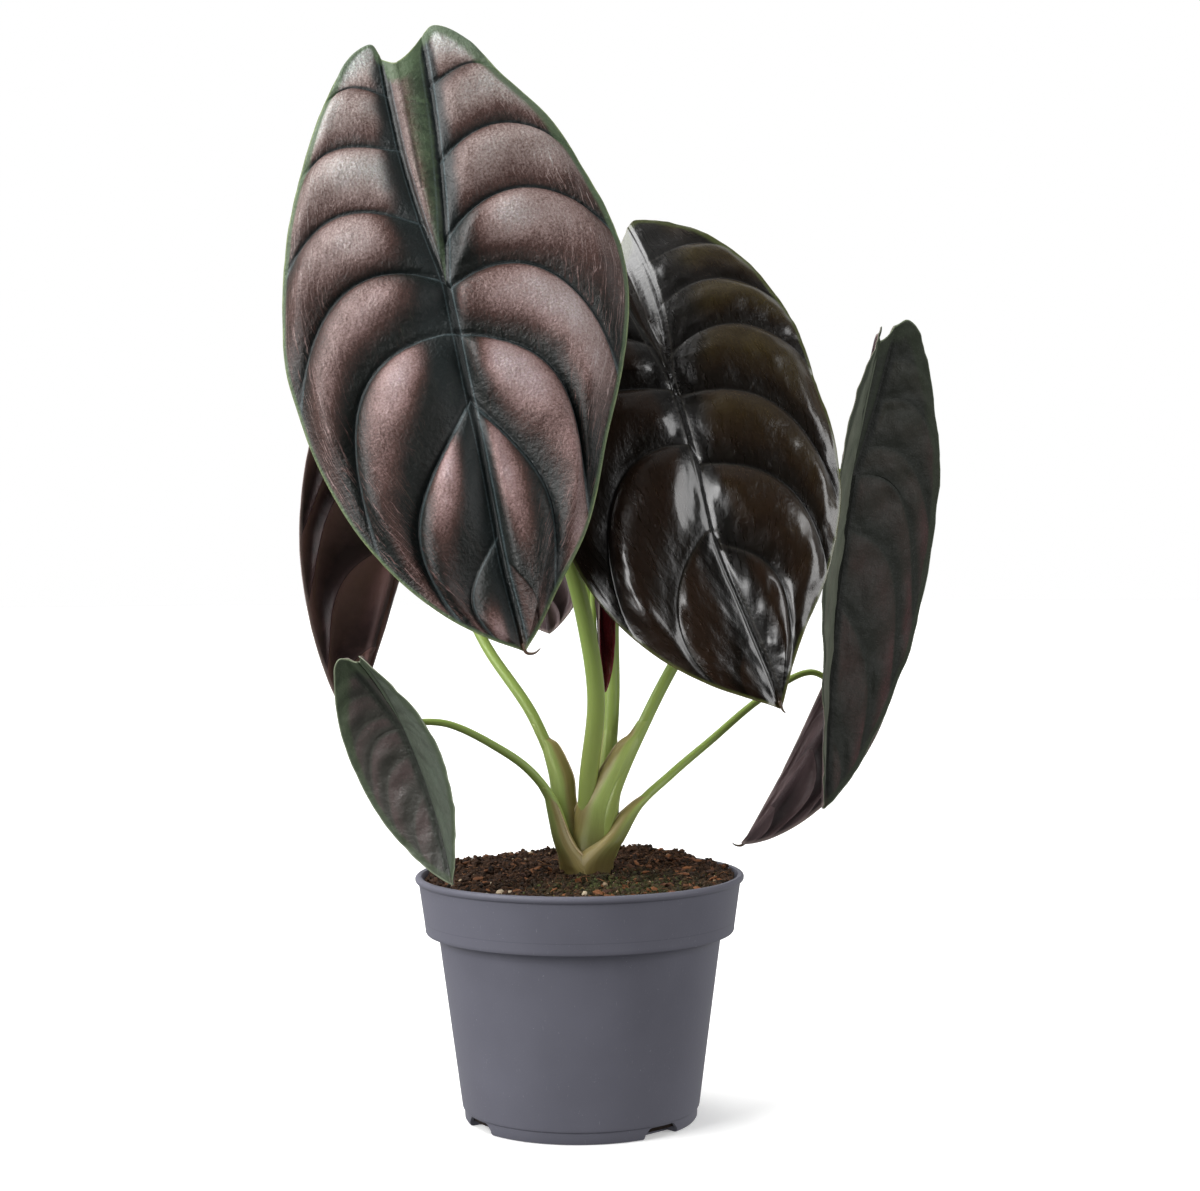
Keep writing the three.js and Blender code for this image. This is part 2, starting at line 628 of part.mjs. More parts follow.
// The crown: the buried stem with every stalk's sheath grown onto it
function crownGeometry() {
  const c = CROWN;
  const stem = turned([[0, c.bottom], [c.radius - 1, c.bottom], [c.radius, c.bottom + 2],
    [c.radius, c.top - 4], [c.radius - 2.4, c.top], [0, c.top + 2]], c.segments);
  stem.translate(...c.centre, 0);
  let crown = solidOf(stem);
  for (const leaf of LEAVES) {
    const sheath = taperedSweep(stalkCurve(leaf), 0, leaf.sheathEnd, stalkRadiusAt(leaf), STALK.sheathSides,
      STALK.sheathRings);
    crown = crown.add(solidOf(sheath));
  }

  // Nothing spreads below the soil's surface, where the crown stands in a plain hole
  const room = turned([[0, c.bottom], [c.radius, c.bottom], [c.radius, c.soilTop],
    [c.spread, c.soilTop + c.spreadRise], [c.spread, c.clearTop], [0, c.clearTop]], 2 * c.segments);
  room.translate(...c.centre, 0);
  crown = crown.intersect(solidOf(room));
  for (const leaf of LEAVES) {
    const wider = (u) => stalkRadiusAt(leaf)(u) + SEAM;
    const from = leaf.sheathEnd;
    const seat = taperedSweep(stalkCurve(leaf), from, from + STALK.seatShare, wider, STALK.seatSides,
      STALK.sheathRings);
    crown = crown.subtract(solidOf(seat));
  }
  return geometryOf(crown);
}

// The stalk above its sheath, as far as the blade
function stalkGeometry(leaf) {
  const curve = stalkCurve(leaf);
  const length = curve.getLength();
  const start = leaf.sheathEnd + SEAM / length;
  const end = 1 - SEAM / length;
  const rings = STALK.rings + Math.round(length / STALK.ringEvery);
  return taperedSweep(curve, start, end, stalkRadiusAt(leaf), STALK.sides, rings);
}

function material(colour, roughness, metalness = 0) {
  return new THREE.MeshStandardMaterial({ color: colour, roughness, metalness, side: THREE.DoubleSide });
}

const plastic = material(0x5d5f69, 0.5);
const peat = material(0x2c2018, 0.95);
const stalkGreen = material(0x86a352, 0.45);
const sheathTan = material(0x9a9a62, 0.5);
const leafCopper = material(0x53413f, 0.35, 0.25);

const plant = new THREE.Group();

function put(name, geometry, dressing) {
  const mesh = new THREE.Mesh(geometry, dressing.clone());
  mesh.name = name;
  plant.add(mesh);
}

put("pot", potGeometry(), plastic);
put("soil", soilGeometry(), peat);
put("crown", crownGeometry(), sheathTan);
for (const leaf of LEAVES) {
  put(`stalk_${leaf.name}`, stalkGeometry(leaf), stalkGreen);
  put(`blade_${leaf.name}`, bladeGeometry(leaf), leafCopper);
}

export default plant;
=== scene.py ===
"""A potted Alocasia cuprea, dressed for rendering over its construction model.

The plant is eight quilted leaf blades on arching stalks, a sheathed crown, potting soil and a round nursery pot.
Sizes in the leaf, sheath and pot tables are millimetres; the meshes are built in metres, in the frame of the model.
"""

import logging
import math
from dataclasses import dataclass, field
from enum import Enum
from functools import partial
from typing import Callable, Mapping, Sequence

import bpy
import numpy as np
from mathutils import Matrix, Vector


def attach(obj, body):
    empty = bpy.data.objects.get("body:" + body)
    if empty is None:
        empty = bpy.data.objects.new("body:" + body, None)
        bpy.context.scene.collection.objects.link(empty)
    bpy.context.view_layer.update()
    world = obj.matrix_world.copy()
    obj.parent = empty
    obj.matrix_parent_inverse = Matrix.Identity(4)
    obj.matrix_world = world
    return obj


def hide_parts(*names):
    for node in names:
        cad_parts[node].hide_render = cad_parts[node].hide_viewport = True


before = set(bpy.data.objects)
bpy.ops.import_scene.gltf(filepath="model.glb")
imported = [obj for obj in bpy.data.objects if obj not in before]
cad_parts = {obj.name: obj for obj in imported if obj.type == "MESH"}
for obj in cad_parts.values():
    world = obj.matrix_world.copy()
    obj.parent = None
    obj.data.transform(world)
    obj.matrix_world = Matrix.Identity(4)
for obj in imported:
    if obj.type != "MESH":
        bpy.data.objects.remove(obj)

Array = np.ndarray
Colour = tuple[float, float, float, float]
Node = bpy.types.Node
AddNode = Callable[..., Node]
Piece = bpy.types.Object
Likelihood = Callable[[Array, Array], Array]

LOG = logging.getLogger("alocasia")
MM = 0.001
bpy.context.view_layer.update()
EASED = {"interpolation_type": "SMOOTHSTEP"}

# Camera of the photograph: place in millimetres, pitch and roll in degrees, focal length in pixels
CAMERA_PLACE = (8.2, -800.0, 202.1)
CAMERA_PITCH = 0.68
CAMERA_ROLL = -0.38
CAMERA_FOCAL = 2165.0
PICTURE_WIDTH = 1200.0
SENSOR = 36.0

# Veins, as the construction model has them. Row counts the veins of a half from its lobe (0) past the stalk (4)
# to the tip (8): where each leaves the rib, where it meets the margin, and how far it leans back as it starts
VEIN_ON_RIB = (-1, -0.78, -0.5, -0.18, 0, 0.16, 0.37, 0.74, 1)
VEIN_ON_MARGIN = (0.1, 0.17, 0.29, 0.46, 0.63, 0.76, 0.9, 0.965, 1)
VEIN_LEAN = (60, 24, 32, 34, 22, 0, -42, -55, -75)
PANEL_SWELL = (0.35, 0.7, 0.95, 1, 1, 1, 0.95, 0.55)
STALK_ROW = 4
LAST_ROW = 8

# Half width of a fully grown blade in millimetres: ribs, grooves and dark lines on a smaller one are in proportion
GROWN_HALF = 60.0

# Half outlines as shares of the leaf's own lengths: along (lobes -1, tip 1) and across (widest 1)
OUTLINE = (
    (-0.94, 0.13), (-1, 0.22), (-0.95, 0.36), (-0.78, 0.54), (-0.5, 0.77), (-0.2, 0.93), (0.08, 1),
    (0.3, 0.97), (0.52, 0.83), (0.72, 0.6), (0.87, 0.34), (0.95, 0.15), (1, 0),
)
OUTLINE_SLIM_TIP = (
    (-0.98, 0.14), (-1.01, 0.22), (-0.92, 0.4), (-0.76, 0.54), (-0.57, 0.75), (-0.26, 0.93), (0.02, 1),
    (0.25, 0.9), (0.47, 0.7), (0.72, 0.47), (0.87, 0.23), (0.95, 0.1), (1, 0),
)
OUTLINE_FULL_TIP = (
    (-0.92, 0.1), (-0.98, 0.15), (-0.95, 0.28), (-0.84, 0.43), (-0.56, 0.68), (-0.25, 0.88), (0.08, 1),
    (0.28, 0.98), (0.52, 0.86), (0.72, 0.65), (0.87, 0.39), (0.95, 0.18), (1, 0),
)
OUTLINE_ROUND_BACK = (
    (-0.98, 0.14), (-1.01, 0.22), (-0.93, 0.44), (-0.76, 0.67), (-0.5, 0.88), (-0.18, 0.99), (0.1, 1),
    (0.3, 0.97), (0.45, 0.89), (0.67, 0.6), (0.84, 0.26), (0.93, 0.1), (1, 0),
)
OUTLINE_BROAD = (
    (-0.94, 0.13), (-1, 0.22), (-0.95, 0.36), (-0.78, 0.56), (-0.5, 0.79), (-0.2, 0.93), (0.08, 1),
    (0.3, 1), (0.46, 0.98), (0.62, 0.87), (0.77, 0.66), (0.88, 0.41), (0.95, 0.18), (1, 0),
)

OUTLINE_SHORT_LOBE = ((-0.9, 0.13), (-0.955, 0.22), (-0.92, 0.36)) + OUTLINE[3:]
OUTLINE_LONG_LOBE = ((-0.99, 0.12), (-1.05, 0.21), (-1.0, 0.36), (-0.8, 0.56)) + OUTLINE[4:]


class Skin(Enum):
    """How the upper side of a leaf has ripened."""

    COPPER = "copper"
    BRONZE = "bronze"
    OLD_GREEN = "old_green"
    OLD_DARK = "old_dark"
    OLD_PURPLE = "old_purple"
    YOUNG_RED = "young_red"


class Under(Enum):
    """How the underside of a leaf has ripened, and whether it is painted lighter for light that falls on it."""

    PLAIN = "plain"
    OLD = "old"
    PAINTED_LIGHTER = "painted_lighter"


def linear(colour: str) -> Colour:
    """Turns an sRGB hex colour into a linear one.

    Args:
        colour: Six hex digits after a #.

    Returns:
        Linear red, green and blue, with an alpha of 1.
    """
    parts = [int(colour[i:i + 2], 16) / 255 for i in (1, 3, 5)]
    red, green, blue = (c / 12.92 if c <= 0.04045 else ((c + 0.055) / 1.055) ** 2.4 for c in parts)
    return red, green, blue, 1.0


def smooth(x: Array | float, low: float, high: float) -> Array:
    """Rises smoothly from 0 at low to 1 at high.

    Args:
        x: Values to map.
        low: Where the result is 0.
        high: Where the result is 1.

    Returns:
        The mapped values.
    """
    t = np.clip((np.asarray(x, float) - low) / (high - low), 0, 1)
    return t * t * (3 - 2 * t)


def bell(x: Array, width: float) -> Array:
    """Falls from 1 at 0 to nearly 0 past twice the width."""
    return np.exp(-((x / width) ** 2))


def limited_slope(before: Array, here: Array, after: Array) -> Array:
    """Slope at the middle of three values that never overshoots them.

    Args:
        before: The first value.
        here: The middle one.
        after: The last one.

    Returns:
        The slope, or 0 at a crest or a trough.
    """
    rise, fall = here - before, after - here
    total = np.where(rise * fall > 0, rise + fall, 1)
    return np.where(rise * fall > 0, 2 * rise * fall / total, 0)


def stations(values: Sequence[float], place: Array) -> Array:
    """Smooth values between listed ones.

    Args:
        values: Values at the places 0, 1, 2 and so on.
        place: Places to read.

    Returns:
        The value at each place.
    """
    listed = np.asarray(values, float)
    i = np.clip(np.floor(place).astype(int), 0, len(listed) - 2)
    f = place - i
    padded = np.concatenate([listed[:1], listed, listed[-1:]])
    before, low, high, after = (padded[i + k] for k in range(4))
    start, end = limited_slope(before, low, high), limited_slope(low, high, after)
    return ((2 * f**3 - 3 * f**2 + 1) * low + (f**3 - 2 * f**2 + f) * start
            + (3 * f**2 - 2 * f**3) * high + (f**3 - f**2) * end)


def waves(points: Array, length: float, seed: int, count: int = 7) -> Array:
    """A gentle uneven relief made of crossing waves.

    Args:
        points: Places, with any number of coordinates last.
        length: Typical distance from crest to crest, in the units of the points.
        seed: Picks the pattern.
        count: Number of waves.

    Returns:
        Heights that stay within about -1 and 1.
    """
    rng = np.random.default_rng(seed)
    total = np.zeros(points.shape[:-1])
    for _ in range(count):
        way = rng.normal(size=points.shape[-1])
        way /= np.linalg.norm(way)
        total += np.sin(points @ way * (2 * math.pi / (length * rng.uniform(0.7, 1.6))) + rng.uniform(0, 6.28))
    return total / math.sqrt(count) / 1.4


def nearest(points: Array, line: Array) -> Array:
    """Distance from each point to the nearest point of a finely drawn line."""
    gaps = points[..., None, :] - line
    return np.sqrt((gaps**2).sum(-1)).min(-1)


class SmoothCurve:
    """A smooth line through points, read by its share of the length."""

    def __init__(self, points: Sequence[Sequence[float]], per_span: int = 40) -> None:
        """Draws the line finely.

        Args:
            points: The points that it passes.
            per_span: Steps between two of them.
        """
        p = np.asarray(points, float)
        ends = np.vstack([2 * p[0] - p[1], p, 2 * p[-1] - p[-2]])
        t = np.linspace(0, 1, per_span, endpoint=False)[:, None]
        drawn = []
        for a, b, c, d in zip(ends, ends[1:], ends[2:], ends[3:]):
            g0, g1, g2 = (max(math.sqrt(np.linalg.norm(v - u)), 1e-4) for u, v in ((a, b), (b, c), (c, d)))
            m1 = ((b - a) / g0 - (c - a) / (g0 + g1) + (c - b) / g1) * g1
            m2 = ((c - b) / g1 - (d - b) / (g1 + g2) + (d - c) / g2) * g1
            drawn.append((2 * t**3 - 3 * t**2 + 1) * b + (t**3 - 2 * t**2 + t) * m1
                         + (3 * t**2 - 2 * t**3) * c + (t**3 - t**2) * m2)
        self.points = np.vstack([*drawn, p[-1:]])
        steps = np.linalg.norm(np.diff(self.points, axis=0), axis=1)
        self.length = float(steps.sum())
        self.share = np.concatenate([[0.0], np.cumsum(steps)]) / self.length

    def at(self, share: Array | float) -> Array:
        """Points at shares of the length."""
        return np.stack([np.interp(share, self.share, axis) for axis in self.points.T], -1)

    def tangent(self, share: Array | float) -> Array:
        """Unit directions at shares of the length."""
        way = self.at(np.minimum(share + 0.004, 1)) - self.at(np.maximum(share - 0.004, 0))
        return way / np.linalg.norm(way, axis=-1, keepdims=True)


@dataclass(frozen=True)
class Crest:
    """Where one panel of a leaf catches the light, as shares of the way from its upper vein to its lower one.

    The crest is painted light: it starts at near beside the rib, reaches the margin at far and fades over width. Its
    painted light is given beside the rib, halfway and at the margin, and shade is how far from the rib it is still
    painted dark, in millimetres.
    """

    near: float = 0.3
    far: float = 0.3
    width: float = 0.38
    light: tuple[float, float, float] = (1, 1, 1)
    shade: float = 9.0


@dataclass(frozen=True)
class Leaf:
    """One leaf, as the construction model has it, in millimetres and degrees. Pairs are its left and right half.

    junction is the stalk's end and face the compass bearing of the upper side. back is how far the lobes reach
    behind the stalk, half the width of each half, fold how steeply it rises, cup how it curls, bend and bend_back
    how the blade curves before and behind the stalk, and bow how far its rib leaves the straight line. quilt is how
    high the panels swell, fullness and swell the share of it by half and panel, groove the depth of each vein,
    strip the height of the panel between the back ribs, and joined whether the last two panels are one. hook holds
    the steps of the drawn-out tip, and stalk_radius the radius above the sheath and at the blade. rib_shade is how
    far it is dark beside the rib, green_width the green margin's width by the lobe and further on, and warm and
    pale are how far the skin's colour shifts.
    """

    name: str
    junction: tuple[float, float, float]
    tip: tuple[float, float, float]
    face: float
    back: float
    half: tuple[float, float]
    fold: tuple[float, float]
    cup: tuple[float, float]
    bend: float
    bend_back: float
    quilt: float
    outlines: tuple[tuple[tuple[float, float], ...], ...]
    stalk_radius: tuple[float, float]
    sheath_end: float
    via: tuple[tuple[float, float, float], ...]
    skin: Skin = Skin.OLD_GREEN
    under: Under = Under.PLAIN
    steps: int = 14
    columns: int = 30
    ripple: float = 0.15
    strip: float = 0.6
    fullness: tuple[float, float] = (1.4, 1.4)
    hook: tuple[tuple[float, float, float], ...] = ()
    on_rib: tuple[tuple[float, ...], ...] = (VEIN_ON_RIB, VEIN_ON_RIB)
    on_margin: tuple[tuple[float, ...], ...] = (VEIN_ON_MARGIN, VEIN_ON_MARGIN)
    lean: tuple[tuple[float, ...], ...] = (VEIN_LEAN, VEIN_LEAN)
    handles: tuple[float, float] = (0.5, 0.4)
    bow: tuple[float, ...] = (0,) * 9
    groove: tuple[tuple[float, ...], ...] = ((1, 1, 1, 1, 1, 1, 1, 0.4, 0),) * 2
    rib_shade: tuple[tuple[float, ...], ...] = ((9,) * 9, (7,) * 9)
    crests: tuple[tuple[Crest, ...], ...] = ((Crest(),) * 8, (Crest(shade=7.0),) * 8)
    joined: tuple[bool, bool] = (False, False)
    swell: tuple[tuple[float, ...], ...] = (PANEL_SWELL, PANEL_SWELL)
    strip_green: float = 0.45
    warm: tuple[float, float] = (0, 0)
    warm_tip: float = 0.0
    warm_margin: float = 0.0
    pale: tuple[float, float] = (0, 0)
    green_width: tuple[tuple[float, float], ...] = ((6, 2.5), (6, 2.5))

    @property
    def grown(self) -> float:
        """Size as a share of a fully grown blade."""
        return self.half[0] / GROWN_HALF


# Where the painted light and shade lie on the panels of the front leaf, by half and from its lobe to its tip. Most of
# the values weren't chosen by hand: a separate fit of this leaf's light to the tones of the photograph gave them.
FRONT_CRESTS = (
    (
        Crest(0.25, 0.52, 0.5, (1.2, 1.16, 1.2), 4), Crest(0.42, 0.5, 0.38, (0.5, 0.47, 0.9), 5),
        Crest(0.45, 0.46, 0.39, (0.87, 0.57, 0.3), 8.5), Crest(0.35, 0.46, 0.36, (1.2, 0.46, 0.14), 27),
        Crest(0.36, 0.41, 0.28, (0.65, 0.37, 0.11), 28), Crest(0.09, 0.77, 0.22, (1.2, 0.24, 0.28), 24.5),
        Crest(0.04, 0.92, 0.24, (1.3, 0.14, 0.38), 14), Crest(0.62, 0.4, 0.2, (0.5, 0.75, 0.5), 8),
    ),
    (
        Crest(0.2, 0.5, 0.55, (1.2, 1.14, 1.17), 4), Crest(0.53, 0.43, 0.34, (0.26, 0.51, 0.8), 3),
        Crest(0.48, 0.33, 0.44, (0.1, 0.49, 0.15), 3), Crest(0.4, 0.31, 0.38, (1.2, 0.46, 0.18), 22),
        Crest(0.46, 0.13, 0.31, (0.08, 0.71, 0.04), 3), Crest(0.33, 0.35, 0.33, (1.3, 0.35, 0.55), 14),
        Crest(0.21, 0.93, 0.3, (1.0, 0.07, 0.34), 6.7), Crest(0.5, 0.5, 0.8, (0.14, 0.14, 0.14), 3),
    ),
)

# The front and right leaves' on_rib, on_margin, lean and handles come from a separate fit too, to veins traced on the
# photograph.
LEAVES = (
    Leaf(
        "front", (-41.6, -60, 301.3), (-16.9, -78, 175.2), 4, 97, (62, 61), (8, 8), (-30, -30), -12, -9, 3.8,
        (OUTLINE_FULL_TIP, OUTLINE_SLIM_TIP), (3.5, 2.3), 0.15,
        ((2, -1, 84), (3.4, -4, 123.5), (6.5, -9, 154.6), (3, -16, 182), (-3, -22, 206), (-14, -29, 232),
         (-30, -42, 270)),
        skin=Skin.COPPER, steps=20, columns=48, ripple=0.3, strip=3.0, fullness=(1.6, 1.6), warm_tip=1.0,
        bow=(-3.2, -3.6, -3.8, -3.2, -2.2, -2.0, -1.3, -1.5, 0), handles=(0.54, 0.5),
        on_rib=((-1, -0.83, -0.58, -0.25, 0, 0.143, 0.327, 0.69, 1),
                (-1, -0.787, -0.466, -0.145, 0.026, 0.148, 0.331, 0.74, 1)),
        on_margin=((0.1, 0.136, 0.25, 0.386, 0.57, 0.786, 0.915, 0.96, 1),
                   (0.1, 0.127, 0.281, 0.414, 0.618, 0.806, 0.911, 0.965, 1)),
        lean=((60, 25, 15, 33, 30, 0, -51, -50, -75), (60, 30, 49, 62, 32, -15, -57, -66, -75)),
        green_width=((2.6, 1.0), (4.0, 1.1)), crests=FRONT_CRESTS,
        groove=((1, 1, 1, 1, 1, 1, 1, 0.4, 0), (1, 1, 1, 1, 1, 1, 1, 0, 0)), joined=(False, True),
        rib_shade=((5, 9, 12, 17, 13, 22, 15, 10, 6), (5, 6, 8, 9, 4.5, 4.5, 4.5, 4, 4)),
        hook=((0.8, -0.2, -0.8), (3.2, -0.6, -0.7), (5.2, -1.0, 0.9)),
    ),
    Leaf(
        "right", (35.4, -30, 272.2), (71, -50, 153.8), 13, 69, (57, 51.8), (8, 8), (-26, -30), -14, -26, 3.4,
        (OUTLINE_BROAD, OUTLINE_ROUND_BACK), (3.3, 2.2), 0.2,
        ((4, 4, 84), (9.6, 7, 124), (12.2, 8, 154), (12.4, 7, 184), (15.5, 1, 224), (24, -9, 254)),
        skin=Skin.BRONZE, steps=20, columns=48, ripple=0.4, strip=-4.2, strip_green=0.0, fullness=(1.1, 0.8),
        on_rib=((-1, -0.78, -0.52, -0.19, 0.05, 0.22, 0.46, 0.76, 1),
                (-1, -0.69, -0.39, -0.085, 0.075, 0.28, 0.51, 0.78, 1)),
        on_margin=((0.08, 0.16, 0.22, 0.3, 0.463, 0.759, 0.9, 0.955, 1),
                   (0.08, 0.18, 0.317, 0.43, 0.666, 0.777, 0.92, 0.965, 1)),
        lean=((60, 24, 30, 39, 15, 14, -28, -55, -75), (60, 24, 41, 49, 3, -10, -27, -55, -75)),
        handles=(0.52, 0.42), bow=(-2, -2, -2, -2.3, -2.5, -3.5, -6, -3, 0), joined=(True, True),
        groove=((1, 0.4, 0.4, 0.5, 0.7, 0.4, 0.35, 0, 0), (0, 0.05, 0.05, 0.1, 0.4, 0.8, 0.8, 0, 0)),
        warm=(0.1, 1.2), warm_tip=-1.2, green_width=((3, 0.9), (2.4, 0.9)),
        swell=((0.35, 0.7, 0.95, 1, 1, 1, 0.3, 0.3), (0.35, 0.7, 0.95, 1, 1, 1.1, 1.6, 1.6)),
        rib_shade=((8, 8, 10, 14, 17, 11, 17, 13, 8), (20, 22, 24, 24, 16, 10, 13, 13, 9)),
        hook=((0.4, -0.2, -0.9), (1.3, -0.5, -1.8)),
    ),
    Leaf(
        "left_rear", (-68.4, 35, 256.5), (-87, 20, 146), -125, 58, (38, 35.5), (28, 28), (-14, -14), -10, -16, 2.4,
        (OUTLINE, OUTLINE), (2.2, 1.6), 0.26,
        ((0, 1, 84), (-4, 0.5, 112.8), (-16.3, 6, 146.3), (-35.8, 16, 175.5), (-50, 24, 208), (-61, 28, 240)),
        skin=Skin.OLD_PURPLE, under=Under.PAINTED_LIGHTER, steps=16, columns=36, bow=(-5, -7, -9, -11, -13, -14, -12, -7, 0),
    ),
    Leaf(
        "left_low", (-61.9, -34, 146.4), (-45.2, -31, 90.4), -34, 35, (24, 25), (24, 40), (-14, -20), 22, 26, 1.2,
        (OUTLINE, OUTLINE), (1.8, 1.1), 0.3,
        ((0, -3, 84), (-8.6, -8, 115.3), (-17, -14, 128.5), (-28.6, -20, 137.9), (-47.5, -27, 147.6)),
        columns=32, ripple=0.5, fullness=(0.16, 0.16), groove=((0.05,) * 9,) * 2, warm=(1, 0), pale=(0, 0.9),
    ),
    Leaf(
        "far_right", (103.4, 15, 236.6), (92.3, 12, 111.9), 56, 59, (41.5, 46), (28, 28), (-14, -14), 10, 6, 2.2,
        (OUTLINE_SHORT_LOBE, OUTLINE_LONG_LOBE), (2.4, 1.7), 0.26,
        ((5, -2, 84), (12.6, -5, 119), (25.3, 2, 147.4), (35.7, 8, 166.7), (58, 20, 203), (82, 24, 228)),
        skin=Skin.OLD_DARK, steps=16, columns=36, ripple=0.5, fullness=(0.12, 0.12), groove=((0.05,) * 9,) * 2,
        warm_margin=0.9, warm_tip=0.5, pale=(0.9, 0),
    ),
    Leaf(
        "right_low", (102, 44, 155.8), (63.2, 41, 95), 138, 21, (20, 20), (46, 46), (-16, -16), -42, -12, 1.2,
        (OUTLINE, OUTLINE), (1.7, 1.1), 0.24,
        ((6, -1, 84), (20.5, -1, 113.2), (34, 7, 125.4), (48.9, 15, 137), (70, 26, 153), (90, 36, 162)),
        skin=Skin.OLD_PURPLE, under=Under.OLD, columns=28, hook=((-0.8, 0, -0.5), (-3.0, 0, -0.3), (-4.4, 0, 0.8)),
    ),
    Leaf(
        "rear", (-22.7, 44, 241), (-11.1, 27, 177.8), 172, 44, (30, 30), (14, 14), (-22, -22), -12, -14, 2,
        (OUTLINE, OUTLINE), (2.3, 1.6), 0.2,
        ((2, 6, 84), (3.5, 14, 120), (5.6, 17, 155), (3.2, 22, 192), (-9, 28, 224)),
        skin=Skin.OLD_PURPLE, under=Under.OLD, columns=28, warm=(1, 1),
    ),
    Leaf(
        "young", (7, -3, 218), (10, -1.5, 157.1), 20, 14, (10, 10), (40, 40), (70, 70), 6, 10, 0.5,
        (OUTLINE, OUTLINE), (1.4, 1.1), 0.26,
        ((3, 6, 84), (5, 8.5, 124), (5.6, 8, 160), (5.6, 7.5, 192), (5.8, 4, 211)),
        skin=Skin.YOUNG_RED, steps=12, columns=24, ripple=0.7,
    ),
)


def add_node(tree: bpy.types.NodeTree, kind: str, inputs: Mapping | Sequence = (), **settings: object) -> Node:
    """Adds a node with its settings and links.

    Args:
        tree: The node tree of a material or world.
        kind: Blender's name of the node, without its ShaderNode prefix.
        inputs: Values or nodes by input name or place. A node stands for its first output, and a pair of a node
            and a name for the output of that name.
        **settings: The node's own properties.

    Returns:
        The new node.
    """
    node = tree.nodes.new("ShaderNode" + kind)
    for name, value in settings.items():
        setattr(node, name, value)
    for key, value in (inputs.items() if isinstance(inputs, Mapping) else enumerate(inputs)):
        if isinstance(value, Node):
            value = (value, 0)
        if isinstance(value, tuple) and isinstance(value[0], Node):
            tree.links.new(value[0].outputs[value[1]], node.inputs[key])
        else:
            node.inputs[key].default_value = value
    return node


class Finish:
    """Base of the materials: a named material with a Principled surface."""

    name: str

    def material(self) -> bpy.types.Material:
        """Makes the material, unless it is there already.

        Returns:
            The material.
        """
        made = bpy.data.materials.get(self.name)
        if made:
            return made
        made = bpy.data.materials.new(self.name)
        made.use_nodes = True
        made.node_tree.nodes.clear()
        add = partial(add_node, made.node_tree)
        add("OutputMaterial", {"Surface": self.surface(add)})
        return made

    def surface(self, add: AddNode) -> Node:
        """Adds the surface's nodes and returns its shader."""
        raise NotImplementedError


